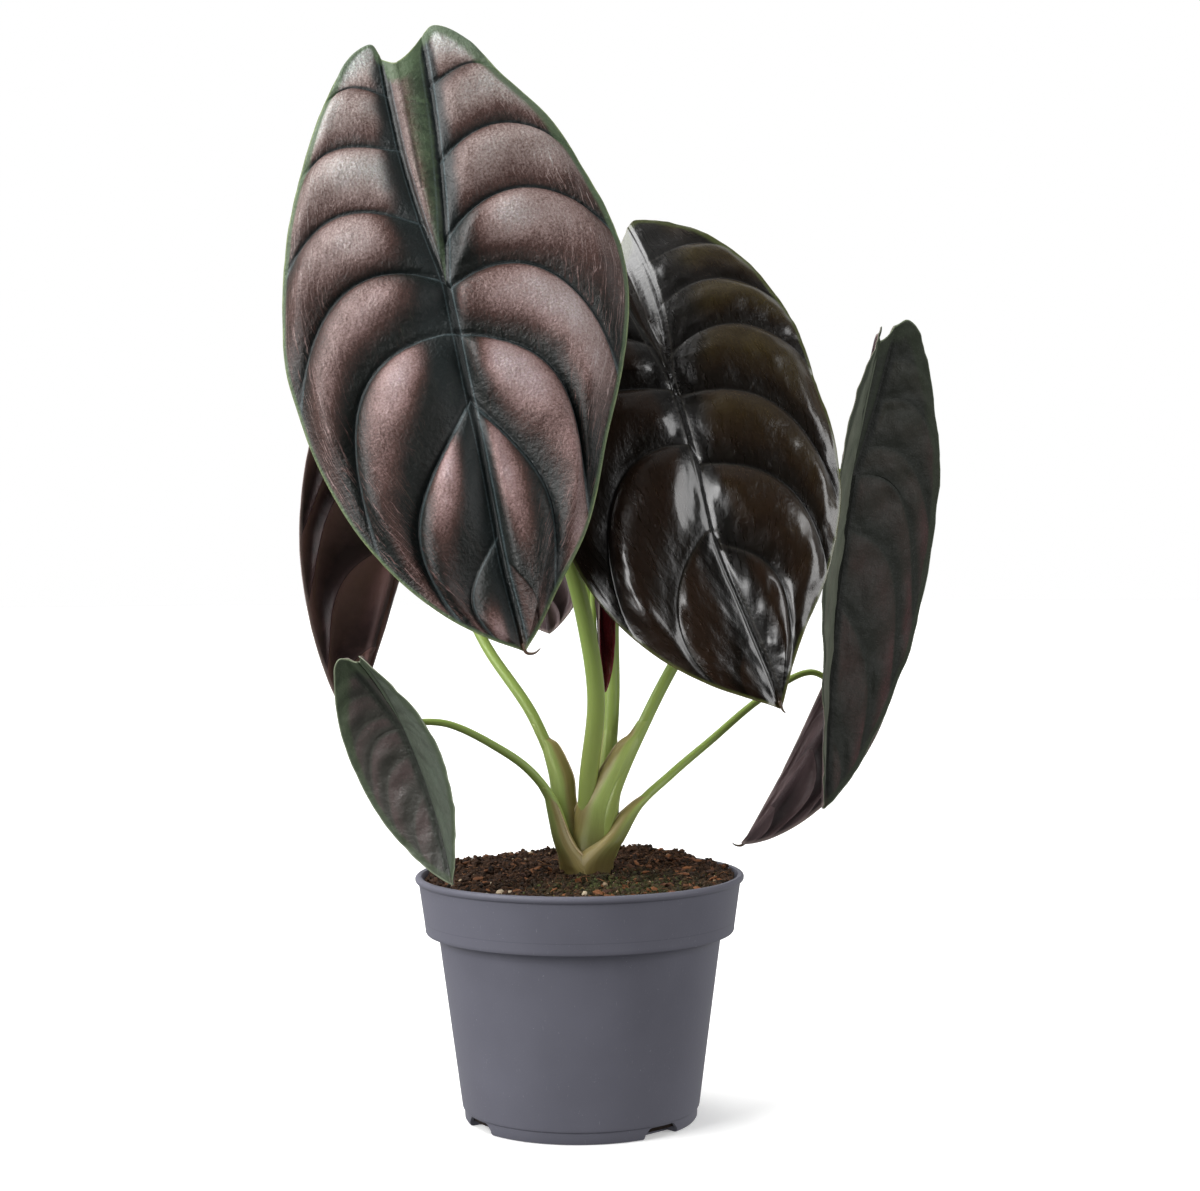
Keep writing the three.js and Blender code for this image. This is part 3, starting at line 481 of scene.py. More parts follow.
@dataclass(frozen=True)
class UpperSkin(Finish):
    """Upper side of an Alocasia cuprea blade: a thick waxy leaf skin, quilted between sunken veins.

    A real leaf skin has an IOR near 1.45. The wax makes the mature ones satin to glossy, and a thin layer of
    pigment gives the swollen panels a coppery glint, so the highlights carry a little of the panel's colour.
    """

    name: str
    # panel and warm are the painted lit colours of the panels, middle the half-lit one and shade the painted shade;
    # line is the painted highlight on the lower lips of the grooves
    panel: str
    warm: str
    middle: str
    shade: str
    vein: str
    margin: str
    edge: str
    line: str
    pale: str
    tip: str
    crinkle: float
    streaks: float
    roughness: float = 0.45
    copper: float = 0.0
    coat: float = 0.05
    coat_roughness: float = 0.3
    lines: float = 0.05
    specular: float = 0.5
    wrinkle: float = 3.2
    glint: float = 0.0

    def surface(self, add: AddNode) -> Node:
        """Adds the nodes that paint panels, veins and margin.

        Args:
            add: Adds a node to the material.

        Returns:
            The shader.
        """
        row, lit, teal, green, warm, pale, hair, to_vein, to_rib, to_margin = (
            (add("Attribute", attribute_name=name), "Fac")
            for name in "row lit teal green warm pale hair to_vein to_rib to_margin".split())
        flat, grain = ((add("Attribute", attribute_name=name), "Vector") for name in ("flat", "grain"))

        # Blotches 12 mm across, freckles of 0.8 mm, fine wrinkles and hair-fine streaks that run across each panel,
        # drawn coarser than the real ones so that they show
        blotch, freckle, relief = (
            add("TexNoise", {"Vector": flat, "Scale": 1 / size, "Detail": 4, "Roughness": rough})
            for size, rough in ((12, 0.6), (0.8, 0.7), (self.wrinkle, 0.6)))
        bend = add("VectorMath", [(blotch, "Color"), (5, 0, 0)], operation="MULTIPLY")
        strands = add("VectorMath", [grain, bend], operation="ADD")
        streak = add("TexNoise", {"Vector": strands, "Scale": 1.0, "Detail": 5, "Roughness": 0.72})
        strand = add("TexNoise", {"Vector": strands, "Scale": 0.8, "Detail": 1.5, "Roughness": 0.5})

        # Hairs follow the middle value of a noise, in patches, and stand thickest towards the margin
        off = add("Math", [add("Math", [strand, 0.5], operation="SUBTRACT")], operation="ABSOLUTE")
        hairs = add("MapRange", [off, 0.002, 0.026, 1, 0], **EASED)
        patchy = add("MapRange", [streak, 0.42, 0.62, 0.15, 1])
        for share in (patchy, hair):
            hairs = add("Math", [hairs, share], operation="MULTIPLY")

        # Panels: painted light and shade. The lit share paints a coppery or bronze highlight on the swollen part of
        # each panel and painted shade down the slope and beside the rib, through the middle colour; warmer in places
        warmth = add("Math", [blotch, 0.5, warm], operation="MULTIPLY_ADD")
        warmth = add("Math", [warmth, -0.25], operation="ADD", use_clamp=True)
        bright = add("Mix", {0: warmth, 6: linear(self.panel), 7: linear(self.warm)}, data_type="RGBA")
        tone = lit
        for pattern, *ends in ((blotch, 0.3, 0.72, 0.6, 1.2), (freckle, 0.35, 0.7, 0.58, 1.38)):
            tone = add("Math", [tone, add("MapRange", [pattern, *ends])], operation="MULTIPLY")
        # The hairs lighten the tone as painted sheen: the fine streaks are the skin's own, their brightness is
        # painted light
        tone = add("Math", [hairs, self.streaks, tone], operation="MULTIPLY_ADD", use_clamp=True)
        glint = add("Math", [tone, self.glint], operation="MULTIPLY")
        bright = add("Mix", {0: glint, 6: (bright, 2), 7: (freckle, "Color")}, data_type="RGBA")
        low, high = add("MapRange", [tone, 0.02, 0.34, 0, 1]), add("MapRange", [tone, 0.15, 1, 0, 1])
        colour = add("Mix", {0: low, 6: linear(self.shade), 7: linear(self.middle)}, data_type="RGBA")
        colour = add("Mix", {0: high, 6: (colour, 2), 7: (bright, 2)}, data_type="RGBA")
        faded = add("MapRange", [blotch, 0.3, 0.7, 0.55, 1.0])
        faded = add("Math", [faded, pale], operation="MULTIPLY")

        # Dark teal veins, their own colour and painted shade in the grooves; painted shade beside the rib; and a thin
        # pale line, a painted highlight, on the lower lip of each groove and beside the rib
        rough_teal_and_shade = add("Math", [add("Math", [blotch, -0.5], operation="ADD"), 0.7, teal], operation="MULTIPLY_ADD")
        dark = add("MapRange", [rough_teal_and_shade, 0.15, 0.85, 0, 0.95], **EASED)
        low_side = add("MapRange", [add("Math", [row], operation="FRACT"), 0.3, 0.5, 1, 0])
        lip_highlights = []
        for gap, place, end in ((to_vein, 0.75, 0.05), (to_rib, 1.5, 0.1)):
            off = add("Math", [add("Math", [gap, place], operation="SUBTRACT")], operation="ABSOLUTE")
            lip_highlights.append(add("MapRange", [off, end, 0.4, 1, 0]))
        lip_highlight = add("Math", [lip_highlights[0], low_side], operation="MULTIPLY")
        line = add("Math", [lip_highlight, lip_highlights[1]], operation="MAXIMUM")
        for share in (add("MapRange", [freckle, 0.35, 0.6, 0.25, 1]), self.lines):
            line = add("Math", [line, share], operation="MULTIPLY")

        # Green margin with a mottled inner border, a browner drip tip and a thin pale rim
        ragged = add("Math", [streak, 1.1, green], operation="MULTIPLY_ADD")
        border = add("MapRange", [ragged, 0.62, 1.35, 0, 0.92], **EASED)
        tip = add("MapRange", [row, 7.5, 8.0, 0, 0.85], **EASED)
        rim = add("MapRange", [to_margin, 0.1, 0.6, 0.8, 0])
        for share, tint in ((faded, self.pale), (dark, self.vein), (line, self.line), (border, self.margin),
                            (tip, self.tip), (rim, self.edge)):
            colour = add("Mix", {0: share, 6: (colour, 2), 7: linear(tint)}, data_type="RGBA")

        # The wax is thinner on the margin and worn into fine streaks on the panels
        gloss = add("MapRange", [streak, 0.35, 0.75, self.roughness - 0.05, self.roughness + 0.1])
        gloss = add("Math", [border, 0.1, gloss], operation="MULTIPLY_ADD")
        height = 0
        for pattern, rise in ((relief, self.crinkle), (hairs, 0.15 * self.streaks), (freckle, 0.03)):
            height = add("Math", [pattern, rise, height], operation="MULTIPLY_ADD")
        bump = add("Bump", {"Height": height, "Distance": MM, "Strength": 1.0})
        # The metallic share follows the painted light, so the coppery sheen sits where the panels are painted lit
        metal = add("Math", [tone, self.copper], operation="MULTIPLY", use_clamp=True)
        return add("BsdfPrincipled", {
            "Base Color": (colour, 2), "Roughness": gloss, "Metallic": metal, "IOR": 1.45, "Normal": bump,
            "Coat Weight": self.coat, "Coat Roughness": self.coat_roughness, "Coat IOR": 1.45,
            "Specular IOR Level": self.specular,
        })


# Young blades come out red, ripen to copper or bronze, and end dark, purple or plain green
UPPER_SKINS = {
    Skin.COPPER: UpperSkin(
        "leaf_skin_copper", panel="#bfc8c4", warm="#b3a1a3", middle="#6b4a43", shade="#131614", vein="#151b1b",
        margin="#4a5a42", edge="#7f8c5e", line="#8fa3a8", pale="#5d6458", tip="#4a3524",
        roughness=0.42, copper=0.25, coat=0.12, coat_roughness=0.4, streaks=0.36, lines=0.2, crinkle=0.6,
        specular=0.3, wrinkle=1.7, glint=0.2),
    Skin.BRONZE: UpperSkin(
        "leaf_skin_bronze", panel="#22150b", warm="#372e16", middle="#1a1008", shade="#0b0703", vein="#0b0907",
        margin="#3c421c", edge="#5f5a30", line="#8a8270", pale="#454a30", tip="#463624",
        roughness=0.3, coat=0.9, coat_roughness=0.17, streaks=0.0, lines=0.06, crinkle=0.3,
        specular=0.35, wrinkle=1.9),
    Skin.OLD_DARK: UpperSkin(
        "leaf_skin_old_dark", panel="#2c2e26", warm="#46302f", middle="#24251f", shade="#1f221c", vein="#191b17",
        margin="#30362a", edge="#6f7862", line="#4a5548", pale="#626859", tip="#3a2c22",
        roughness=0.5, coat=0.0, streaks=0.06, crinkle=0.35, specular=0.2),
    Skin.OLD_PURPLE: UpperSkin(
        "leaf_skin_old_purple", panel="#63504e", warm="#7a4643", middle="#3c2e2c", shade="#251b19", vein="#16100e",
        margin="#332a26", edge="#5b5048", line="#6b5c5a", pale="#5e6554", tip="#4a3a2a",
        streaks=0.08, crinkle=0.3),
    Skin.OLD_GREEN: UpperSkin(
        "leaf_skin_old_green", panel="#43443c", warm="#504442", middle="#3d3c37", shade="#373631", vein="#2c2f29",
        margin="#3f4a36", edge="#858f75", line="#5a6557", pale="#515b4e", tip="#4a3a2a",
        streaks=0.12, lines=0.12, crinkle=0.4),
    Skin.YOUNG_RED: UpperSkin(
        "leaf_skin_young_red", panel="#9a3a42", warm="#9a3a42", middle="#742a32", shade="#5a1d24", vein="#6a2029",
        margin="#7a2a30", edge="#7a2a34", line="#a35a66", pale="#5a1620", tip="#4a1019",
        roughness=0.22, copper=0.1, coat=0.5, coat_roughness=0.12, streaks=0.15, lines=0.1, crinkle=0.9),
}


@dataclass(frozen=True)
class UnderSkin(Finish):
    """Underside of the blade: satin purple-brown skin over raised veins that are a little paler."""

    name: str = "leaf_underside"
    field_colour: str = "#635250"
    deep: str = "#261c1b"
    vein: str = "#59474a"
    edge: str = "#8d7f7a"

    def surface(self, add: AddNode) -> Node:
        """Adds the nodes of the underside.

        Args:
            add: Adds a node to the material.

        Returns:
            The shader.
        """
        row, to_vein, to_rib, to_margin = ((add("Attribute", attribute_name=name), "Fac")
                                           for name in ("row", "to_vein", "to_rib", "to_margin"))
        flat, grain = ((add("Attribute", attribute_name=name), "Vector") for name in ("flat", "grain"))
        blotch, relief = (add("TexNoise", {"Vector": flat, "Scale": 1 / size, "Detail": 4, "Roughness": 0.6})
                          for size in (10, 2.2))
        streak = add("TexNoise", {"Vector": grain, "Scale": 1.0, "Detail": 4, "Roughness": 0.7})
        # Painted light and shade: each panel is painted lit at the field colour just below its vein and falls to
        # painted shade, the deep colour, towards the next vein
        painted_panel_light = add("MapRange", [add("Math", [row], operation="FRACT"), 0.05, 0.85, 1, 0], **EASED)
        tone = add("Math", [blotch, 0.5, painted_panel_light], operation="MULTIPLY_ADD")
        tone = add("Math", [tone, -0.25], operation="ADD", use_clamp=True)
        colour = add("Mix", {0: tone, 6: linear(self.deep), 7: linear(self.field_colour)}, data_type="RGBA")
        veins = add("MapRange", [to_vein, 0.3, 1.1, 0.12, 0], **EASED)
        ribs = add("MapRange", [to_rib, 0.8, 2.4, 0.4, 0], **EASED)
        pale = add("Math", [veins, ribs], operation="MAXIMUM")
        rim = add("MapRange", [to_margin, 0.2, 1.3, 0.8, 0])
        for share, tint in ((pale, self.vein), (rim, self.edge)):
            colour = add("Mix", {0: share, 6: (colour, 2), 7: linear(tint)}, data_type="RGBA")
        height = add("Math", [streak, 0.08, add("Math", [relief, 0.2], operation="MULTIPLY")],
                     operation="MULTIPLY_ADD")
        bump = add("Bump", {"Height": height, "Distance": MM, "Strength": 1.0})
        gloss = add("MapRange", [streak, 0.3, 0.7, 0.4, 0.54])
        return add("BsdfPrincipled", {
            "Base Color": (colour, 2), "Roughness": gloss, "IOR": 1.45, "Normal": bump, "Specular IOR Level": 0.25,
        })


UNDER_SKINS = {
    Under.PLAIN: UnderSkin(),
    Under.OLD: UnderSkin("leaf_underside_old", "#544546", "#201718", "#4b3c3e", "#7d706b"),
    # A lighter copy of the plain underside: painted light, for the left rear leaf
    Under.PAINTED_LIGHTER: UnderSkin("leaf_underside_painted_lighter", "#80605b", "#261b1b", "#6c5553", "#93827d"),
}


@dataclass(frozen=True)
class StalkSkin(Finish):
    """Leaf stalk: a smooth, fresh green skin with fine lengthwise fibres, satin from its wax."""

    name: str = "stalk_skin"
    fresh: str = "#8aa14f"
    pale: str = "#9bb05f"
    base: str = "#8b9650"

    def surface(self, add: AddNode) -> Node:
        """Adds the nodes of the stalk.

        Args:
            add: Adds a node to the material.

        Returns:
            The shader.
        """
        along = (add("Attribute", attribute_name="along"), "Fac")
        grain = (add("Attribute", attribute_name="grain"), "Vector")
        fibre = add("TexNoise", {"Vector": grain, "Scale": 1.0, "Detail": 4, "Roughness": 0.65})
        blotch = add("TexNoise", {"Vector": grain, "Scale": 0.12, "Detail": 3, "Roughness": 0.6})
        tone = add("MapRange", [fibre, 0.35, 0.7, 0.1, 0.5])
        tone = add("Math", [blotch, 0.5, tone], operation="MULTIPLY_ADD")
        colour = add("Mix", {0: tone, 6: linear(self.fresh), 7: linear(self.pale)}, data_type="RGBA")
        low = add("MapRange", [along, 0.18, 0.42, 0.7, 0], **EASED)
        colour = add("Mix", {0: low, 6: (colour, 2), 7: linear(self.base)}, data_type="RGBA")
        bump = add("Bump", {"Height": fibre, "Distance": 0.12 * MM, "Strength": 0.8})
        return add("BsdfPrincipled", {
            "Base Color": (colour, 2), "Roughness": 0.38, "IOR": 1.45, "Normal": bump,
            "Subsurface Weight": 0.25, "Subsurface Radius": (1.0, 1.4, 0.4), "Subsurface Scale": 1.2 * MM,
        })


@dataclass(frozen=True)
class SheathSkin(Finish):
    """Leaf sheath: green over the stalk's own flesh and dry beige-tan where it thins to a membrane."""

    name: str = "sheath_skin"
    green: str = "#98a95c"
    tan: str = "#8f8150"
    foot: str = "#584824"

    def surface(self, add: AddNode) -> Node:
        """Adds the nodes of the sheath.

        Args:
            add: Adds a node to the material.

        Returns:
            The shader.
        """
        membrane, rise = ((add("Attribute", attribute_name=name), "Fac") for name in ("membrane", "rise"))
        grain = (add("Attribute", attribute_name="grain"), "Vector")
        fibre = add("TexNoise", {"Vector": grain, "Scale": 1.0, "Detail": 4, "Roughness": 0.65})
        blotch = add("TexNoise", {"Vector": grain, "Scale": 0.16, "Detail": 4, "Roughness": 0.65})
        foot = add("MapRange", [rise, 2, 30, 0.94, 0], **EASED)
        colour = add("Mix", {0: foot, 6: linear(self.green), 7: linear(self.foot)}, data_type="RGBA")
        dry = add("Math", [blotch, 0.7, membrane], operation="MULTIPLY_ADD")
        dry = add("MapRange", [dry, 0.45, 1.15, 0, 0.95], **EASED)
        colour = add("Mix", {0: dry, 6: (colour, 2), 7: linear(self.tan)}, data_type="RGBA")
        mottle = add("MapRange", [fibre, 0.3, 0.75, 0.86, 1.12])
        colour = add("VectorMath", [(colour, 2), mottle], operation="MULTIPLY")
        bump = add("Bump", {"Height": fibre, "Distance": 0.2 * MM, "Strength": 0.8})
        return add("BsdfPrincipled", {
            "Base Color": colour, "Roughness": 0.45, "IOR": 1.45, "Normal": bump,
            "Subsurface Weight": 0.2, "Subsurface Radius": (1.2, 1.0, 0.4), "Subsurface Scale": 1.2 * MM,
        })


@dataclass(frozen=True)
class MembraneEdge(Finish):
    """Thin dry edge of a leaf sheath: papery and pinkish tan."""

    name: str = "membrane_edge"
    colour: str = "#c9b691"
    speckled: str = "#9c8a63"

    def surface(self, add: AddNode) -> Node:
        """Adds the nodes of the edge.

        Args:
            add: Adds a node to the material.

        Returns:
            The shader.
        """
        place = (add("TexCoord"), "Object")
        speck = add("TexNoise", {"Vector": place, "Scale": 1 / (1.5 * MM), "Detail": 3})
        tone = add("MapRange", [speck, 0.3, 0.7, 0, 0.6])
        colour = add("Mix", {0: tone, 6: linear(self.colour), 7: linear(self.speckled)}, data_type="RGBA")
        return add("BsdfPrincipled", {"Base Color": (colour, 2), "Roughness": 0.55, "IOR": 1.45})


@dataclass(frozen=True)
class MouldedPolypropylene(Finish):
    """Injection-moulded grey-blue polypropylene: satin, with faint rubbed marks and a little dust.

    scribe is the height in millimetres of the fine dark line that the mould leaves round the band.
    """

    name: str = "moulded_polypropylene"
    colour: str = "#63636d"
    dust: str = "#9a9ba5"
    scribe: float = 73.4

    def surface(self, add: AddNode) -> Node:
        """Adds the nodes of the pot.

        Args:
            add: Adds a node to the material.

        Returns:
            The shader.
        """
        place = (add("TexCoord"), "Object")

        # Clouded tone 30 mm across, dust specks of half a millimetre in thin drifts 7 mm wide, and the fine uneven
        # surface of a mould that has been in use
        cloud, speck, drift, peel = (
            add("TexNoise", {"Vector": place, "Scale": 1 / (size * MM), "Detail": detail})
            for size, detail in ((30, 3), (0.55, 1), (7, 2), (1.1, 2)))
        tone = add("MapRange", [cloud, 0.3, 0.7, 0.93, 1.06])
        high = add("Math", [(add("SeparateXYZ", [place]), "Z"), self.scribe * MM], operation="SUBTRACT")
        scribe = add("MapRange", [add("Math", [high], operation="ABSOLUTE"), 0.06 * MM, 0.2 * MM, 0.84, 1])
        tone = add("Math", [tone, scribe], operation="MULTIPLY")
        colour = add("VectorMath", [linear(self.colour)[:3], tone], operation="MULTIPLY")

        # Dust, and upright rub marks 4 mm long
        speck = add("MapRange", [speck, 0.72, 0.78, 0, 1])
        drift = add("MapRange", [drift, 0.5, 0.66, 0, 0.6])
        speck = add("Math", [speck, drift], operation="MULTIPLY")
        tall = add("Mapping", {"Vector": place, "Scale": (1 / (0.5 * MM), 1 / (0.5 * MM), 1 / (4 * MM))})
        mark = add("TexNoise", {"Vector": tall, "Scale": 1.0, "Detail": 2})
        mark = add("MapRange", [mark, 0.7, 0.8, 0, 0.3])
        marks = add("Math", [speck, mark], operation="MAXIMUM")
        mixed = add("Mix", {0: marks, 6: colour, 7: linear(self.dust)}, data_type="RGBA")
        bump = add("Bump", {"Height": peel, "Distance": 0.035 * MM, "Strength": 1.0})
        gloss = add("MapRange", [cloud, 0.3, 0.7, 0.4, 0.5])
        return add("BsdfPrincipled", {
            "Base Color": (mixed, 2), "Roughness": gloss, "IOR": 1.49, "Normal": bump, "Specular IOR Level": 0.15,
        })


@dataclass(frozen=True)
class DampPeat(Finish):
    """Damp dark peat: fibrous and matt, with a greener bloom of algae in front of the crown."""

    name: str = "damp_peat"
    light: str = "#432c1b"
    dark: str = "#0b0604"
    algae: str = "#3c4420"

    def surface(self, add: AddNode) -> Node:
        """Adds the nodes of the soil.

        Args:
            add: Adds a node to the material.

        Returns:
            The shader.
        """
        place = (add("TexCoord"), "Object")
        tone, green = ((add("Attribute", attribute_name=name), "Fac") for name in ("tone", "green"))
        crumb, bloom = (
            add("TexNoise", {"Vector": place, "Scale": 1 / (size * MM), "Detail": detail, "Roughness": 0.7})
            for size, detail in ((1.4, 5), (3.2, 4)))
        shade = add("Math", [tone, 0.8, add("Math", [crumb, 0.9], operation="MULTIPLY")], operation="MULTIPLY_ADD")
        shade = add("Math", [shade, -0.35], operation="ADD", use_clamp=True)
        colour = add("Mix", {0: shade, 6: linear(self.dark), 7: linear(self.light)}, data_type="RGBA")
        bloom = add("MapRange", [bloom, 0.4, 0.6, 0, 0.9])
        bloom = add("Math", [bloom, green], operation="MULTIPLY")
        colour = add("Mix", {0: bloom, 6: (colour, 2), 7: linear(self.algae)}, data_type="RGBA")
        bump = add("Bump", {"Height": crumb, "Distance": 0.5 * MM, "Strength": 0.9})
        return add("BsdfPrincipled", {"Base Color": (colour, 2), "Roughness": 0.88, "IOR": 1.4, "Normal": bump})


@dataclass(frozen=True)
class LooseBits(Finish):
    """Bark, grit, moss or fibre on the soil: each bit has its own tone between two natural colours."""

    name: str
    dark: str
    light: str
    roughness: float
    speckle: float

    def surface(self, add: AddNode) -> Node:
        """Adds the nodes of the bits.

        Args:
            add: Adds a node to the material.

        Returns:
            The shader.
        """
        place = (add("TexCoord"), "Object")
        tone = (add("Attribute", attribute_name="tone"), "Fac")
        speck = add("TexNoise", {"Vector": place, "Scale": 1 / (0.8 * MM), "Detail": 4, "Roughness": 0.7})
        shade = add("Math", [speck, self.speckle, tone], operation="MULTIPLY_ADD")
        shade = add("Math", [shade, -self.speckle / 2], operation="ADD", use_clamp=True)
        colour = add("Mix", {0: shade, 6: linear(self.dark), 7: linear(self.light)}, data_type="RGBA")
        bump = add("Bump", {"Height": speck, "Distance": 0.25 * MM, "Strength": 0.7})
        return add("BsdfPrincipled", {
            "Base Color": (colour, 2), "Roughness": self.roughness, "IOR": 1.45, "Normal": bump,
        })


@dataclass(frozen=True)
class StudioPaper(Finish):
    """Seamless white background paper, matt, and lit from behind a little."""

    name: str = "studio_paper"

    def surface(self, add: AddNode) -> Node:
        """Adds the nodes of the paper.

        Args:
            add: Adds a node to the material.

        Returns:
            The shader.
        """
        place = (add("TexCoord"), "Object")
        tooth = add("TexNoise", {"Vector": place, "Scale": 1 / (2 * MM), "Detail": 2})
        colour = add("Mix", {0: tooth, 6: linear("#f4f4f3"), 7: linear("#f8f8f7")}, data_type="RGBA")
        return add("BsdfPrincipled", {
            "Base Color": (colour, 2), "Roughness": 0.9, "Emission Color": (1, 1, 1, 1), "Emission Strength": 0.3,
        })


@dataclass
class MeshParts:
    """Points, faces, the faces' material slots and the points' values that become one mesh."""

    points: list[Array] = field(default_factory=list)
    faces: list[tuple[int, ...]] = field(default_factory=list)
    slots: list[int] = field(default_factory=list)
    values: dict[str, list[Array]] = field(default_factory=dict)
    count: int = 0

    def add_points(self, points: Array, **values: Array) -> Array:
        """Adds points in metres.

        Args:
            points: Their places, with any shape before the last axis.
            **values: One value or vector per point, by attribute name.

        Returns:
            The new points' numbers, in the same shape.
        """
        shape = points.shape[:-1]
        size = int(np.prod(shape))
        self.points.append(points.reshape(-1, 3))
        for name, value in values.items():
            value = np.asarray(value, float)
            more = (3,) if value.shape != shape and value.shape[-1:] == (3,) else ()
            self.values.setdefault(name, []).append(np.broadcast_to(value, shape + more).reshape(size, *more))
        numbers = np.arange(self.count, self.count + size).reshape(shape)
        self.count += size
        return numbers

    def add_faces(self, faces: Sequence[Sequence[int]], slot: int = 0) -> None:
        """Adds faces, each without its doubled points.

        Args:
            faces: Point numbers of each.
            slot: Material slot.
        """
        for face in faces:
            corners = tuple(dict.fromkeys(int(i) for i in face))
            if len(corners) > 2:
                self.faces.append(corners)
                self.slots.append(slot)

    def add_grid(self, grid: Array, slot: int = 0, closed: bool = False) -> None:
        """Adds the quads of a grid of point numbers.

        Args:
            grid: Numbers by row and column.
            slot: Material slot.
            closed: Whether the last column joins the first.
        """
        if closed:
            grid = np.hstack([grid, grid[:, :1]])
        quads = np.stack([grid[:-1, :-1], grid[:-1, 1:], grid[1:, 1:], grid[1:, :-1]], -1)
        self.add_faces(quads.reshape(-1, 4), slot)

    def build(self, name: str, finishes: Sequence[Finish]) -> Piece:
        """Makes the object, smooth-shaded.

        Args:
            name: Name of the piece.
            finishes: Materials by slot.

        Returns:
            The new object, linked to the scene.
        """
        used = np.zeros(self.count, bool)
        for face in self.faces:
            used[list(face)] = True
        fresh = np.cumsum(used) - 1
        mesh = bpy.data.meshes.new(name)
        points = np.vstack(self.points)[used]
        mesh.from_pydata(points.tolist(), [], [[int(fresh[i]) for i in face] for face in self.faces])
        for key, parts in self.values.items():
            data = np.concatenate(parts)[used]
            kind = "FLOAT_VECTOR" if data.ndim > 1 else "FLOAT"
            attribute = mesh.attributes.new(key, kind, "POINT")
            attribute.data.foreach_set("vector" if data.ndim > 1 else "value", data.ravel().astype(np.float32))
        for finish in finishes:
            mesh.materials.append(finish.material())
        mesh.polygons.foreach_set("material_index", self.slots)
        mesh.polygons.foreach_set("use_smooth", [True] * len(mesh.polygons))
        mesh.update()
        piece = bpy.data.objects.new(name, mesh)
        bpy.context.scene.collection.objects.link(piece)
        return piece


def settle(piece: Piece, slot: str, *nodes: str) -> None:
    """Puts a piece on the part's one body, in place of the nodes it stands for.

    Args:
        piece: The piece.
        slot: Its material slot in the record. Not used.
        *nodes: Construction nodes that it replaces.
    """
    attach(piece, "root")
    if nodes:
        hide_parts(*nodes)
    faces = sum(len(p.vertices) - 2 for p in piece.data.polygons)
    LOG.info("%s: %d triangles, stands for %s", piece.name, faces, ", ".join(nodes) or "nothing")


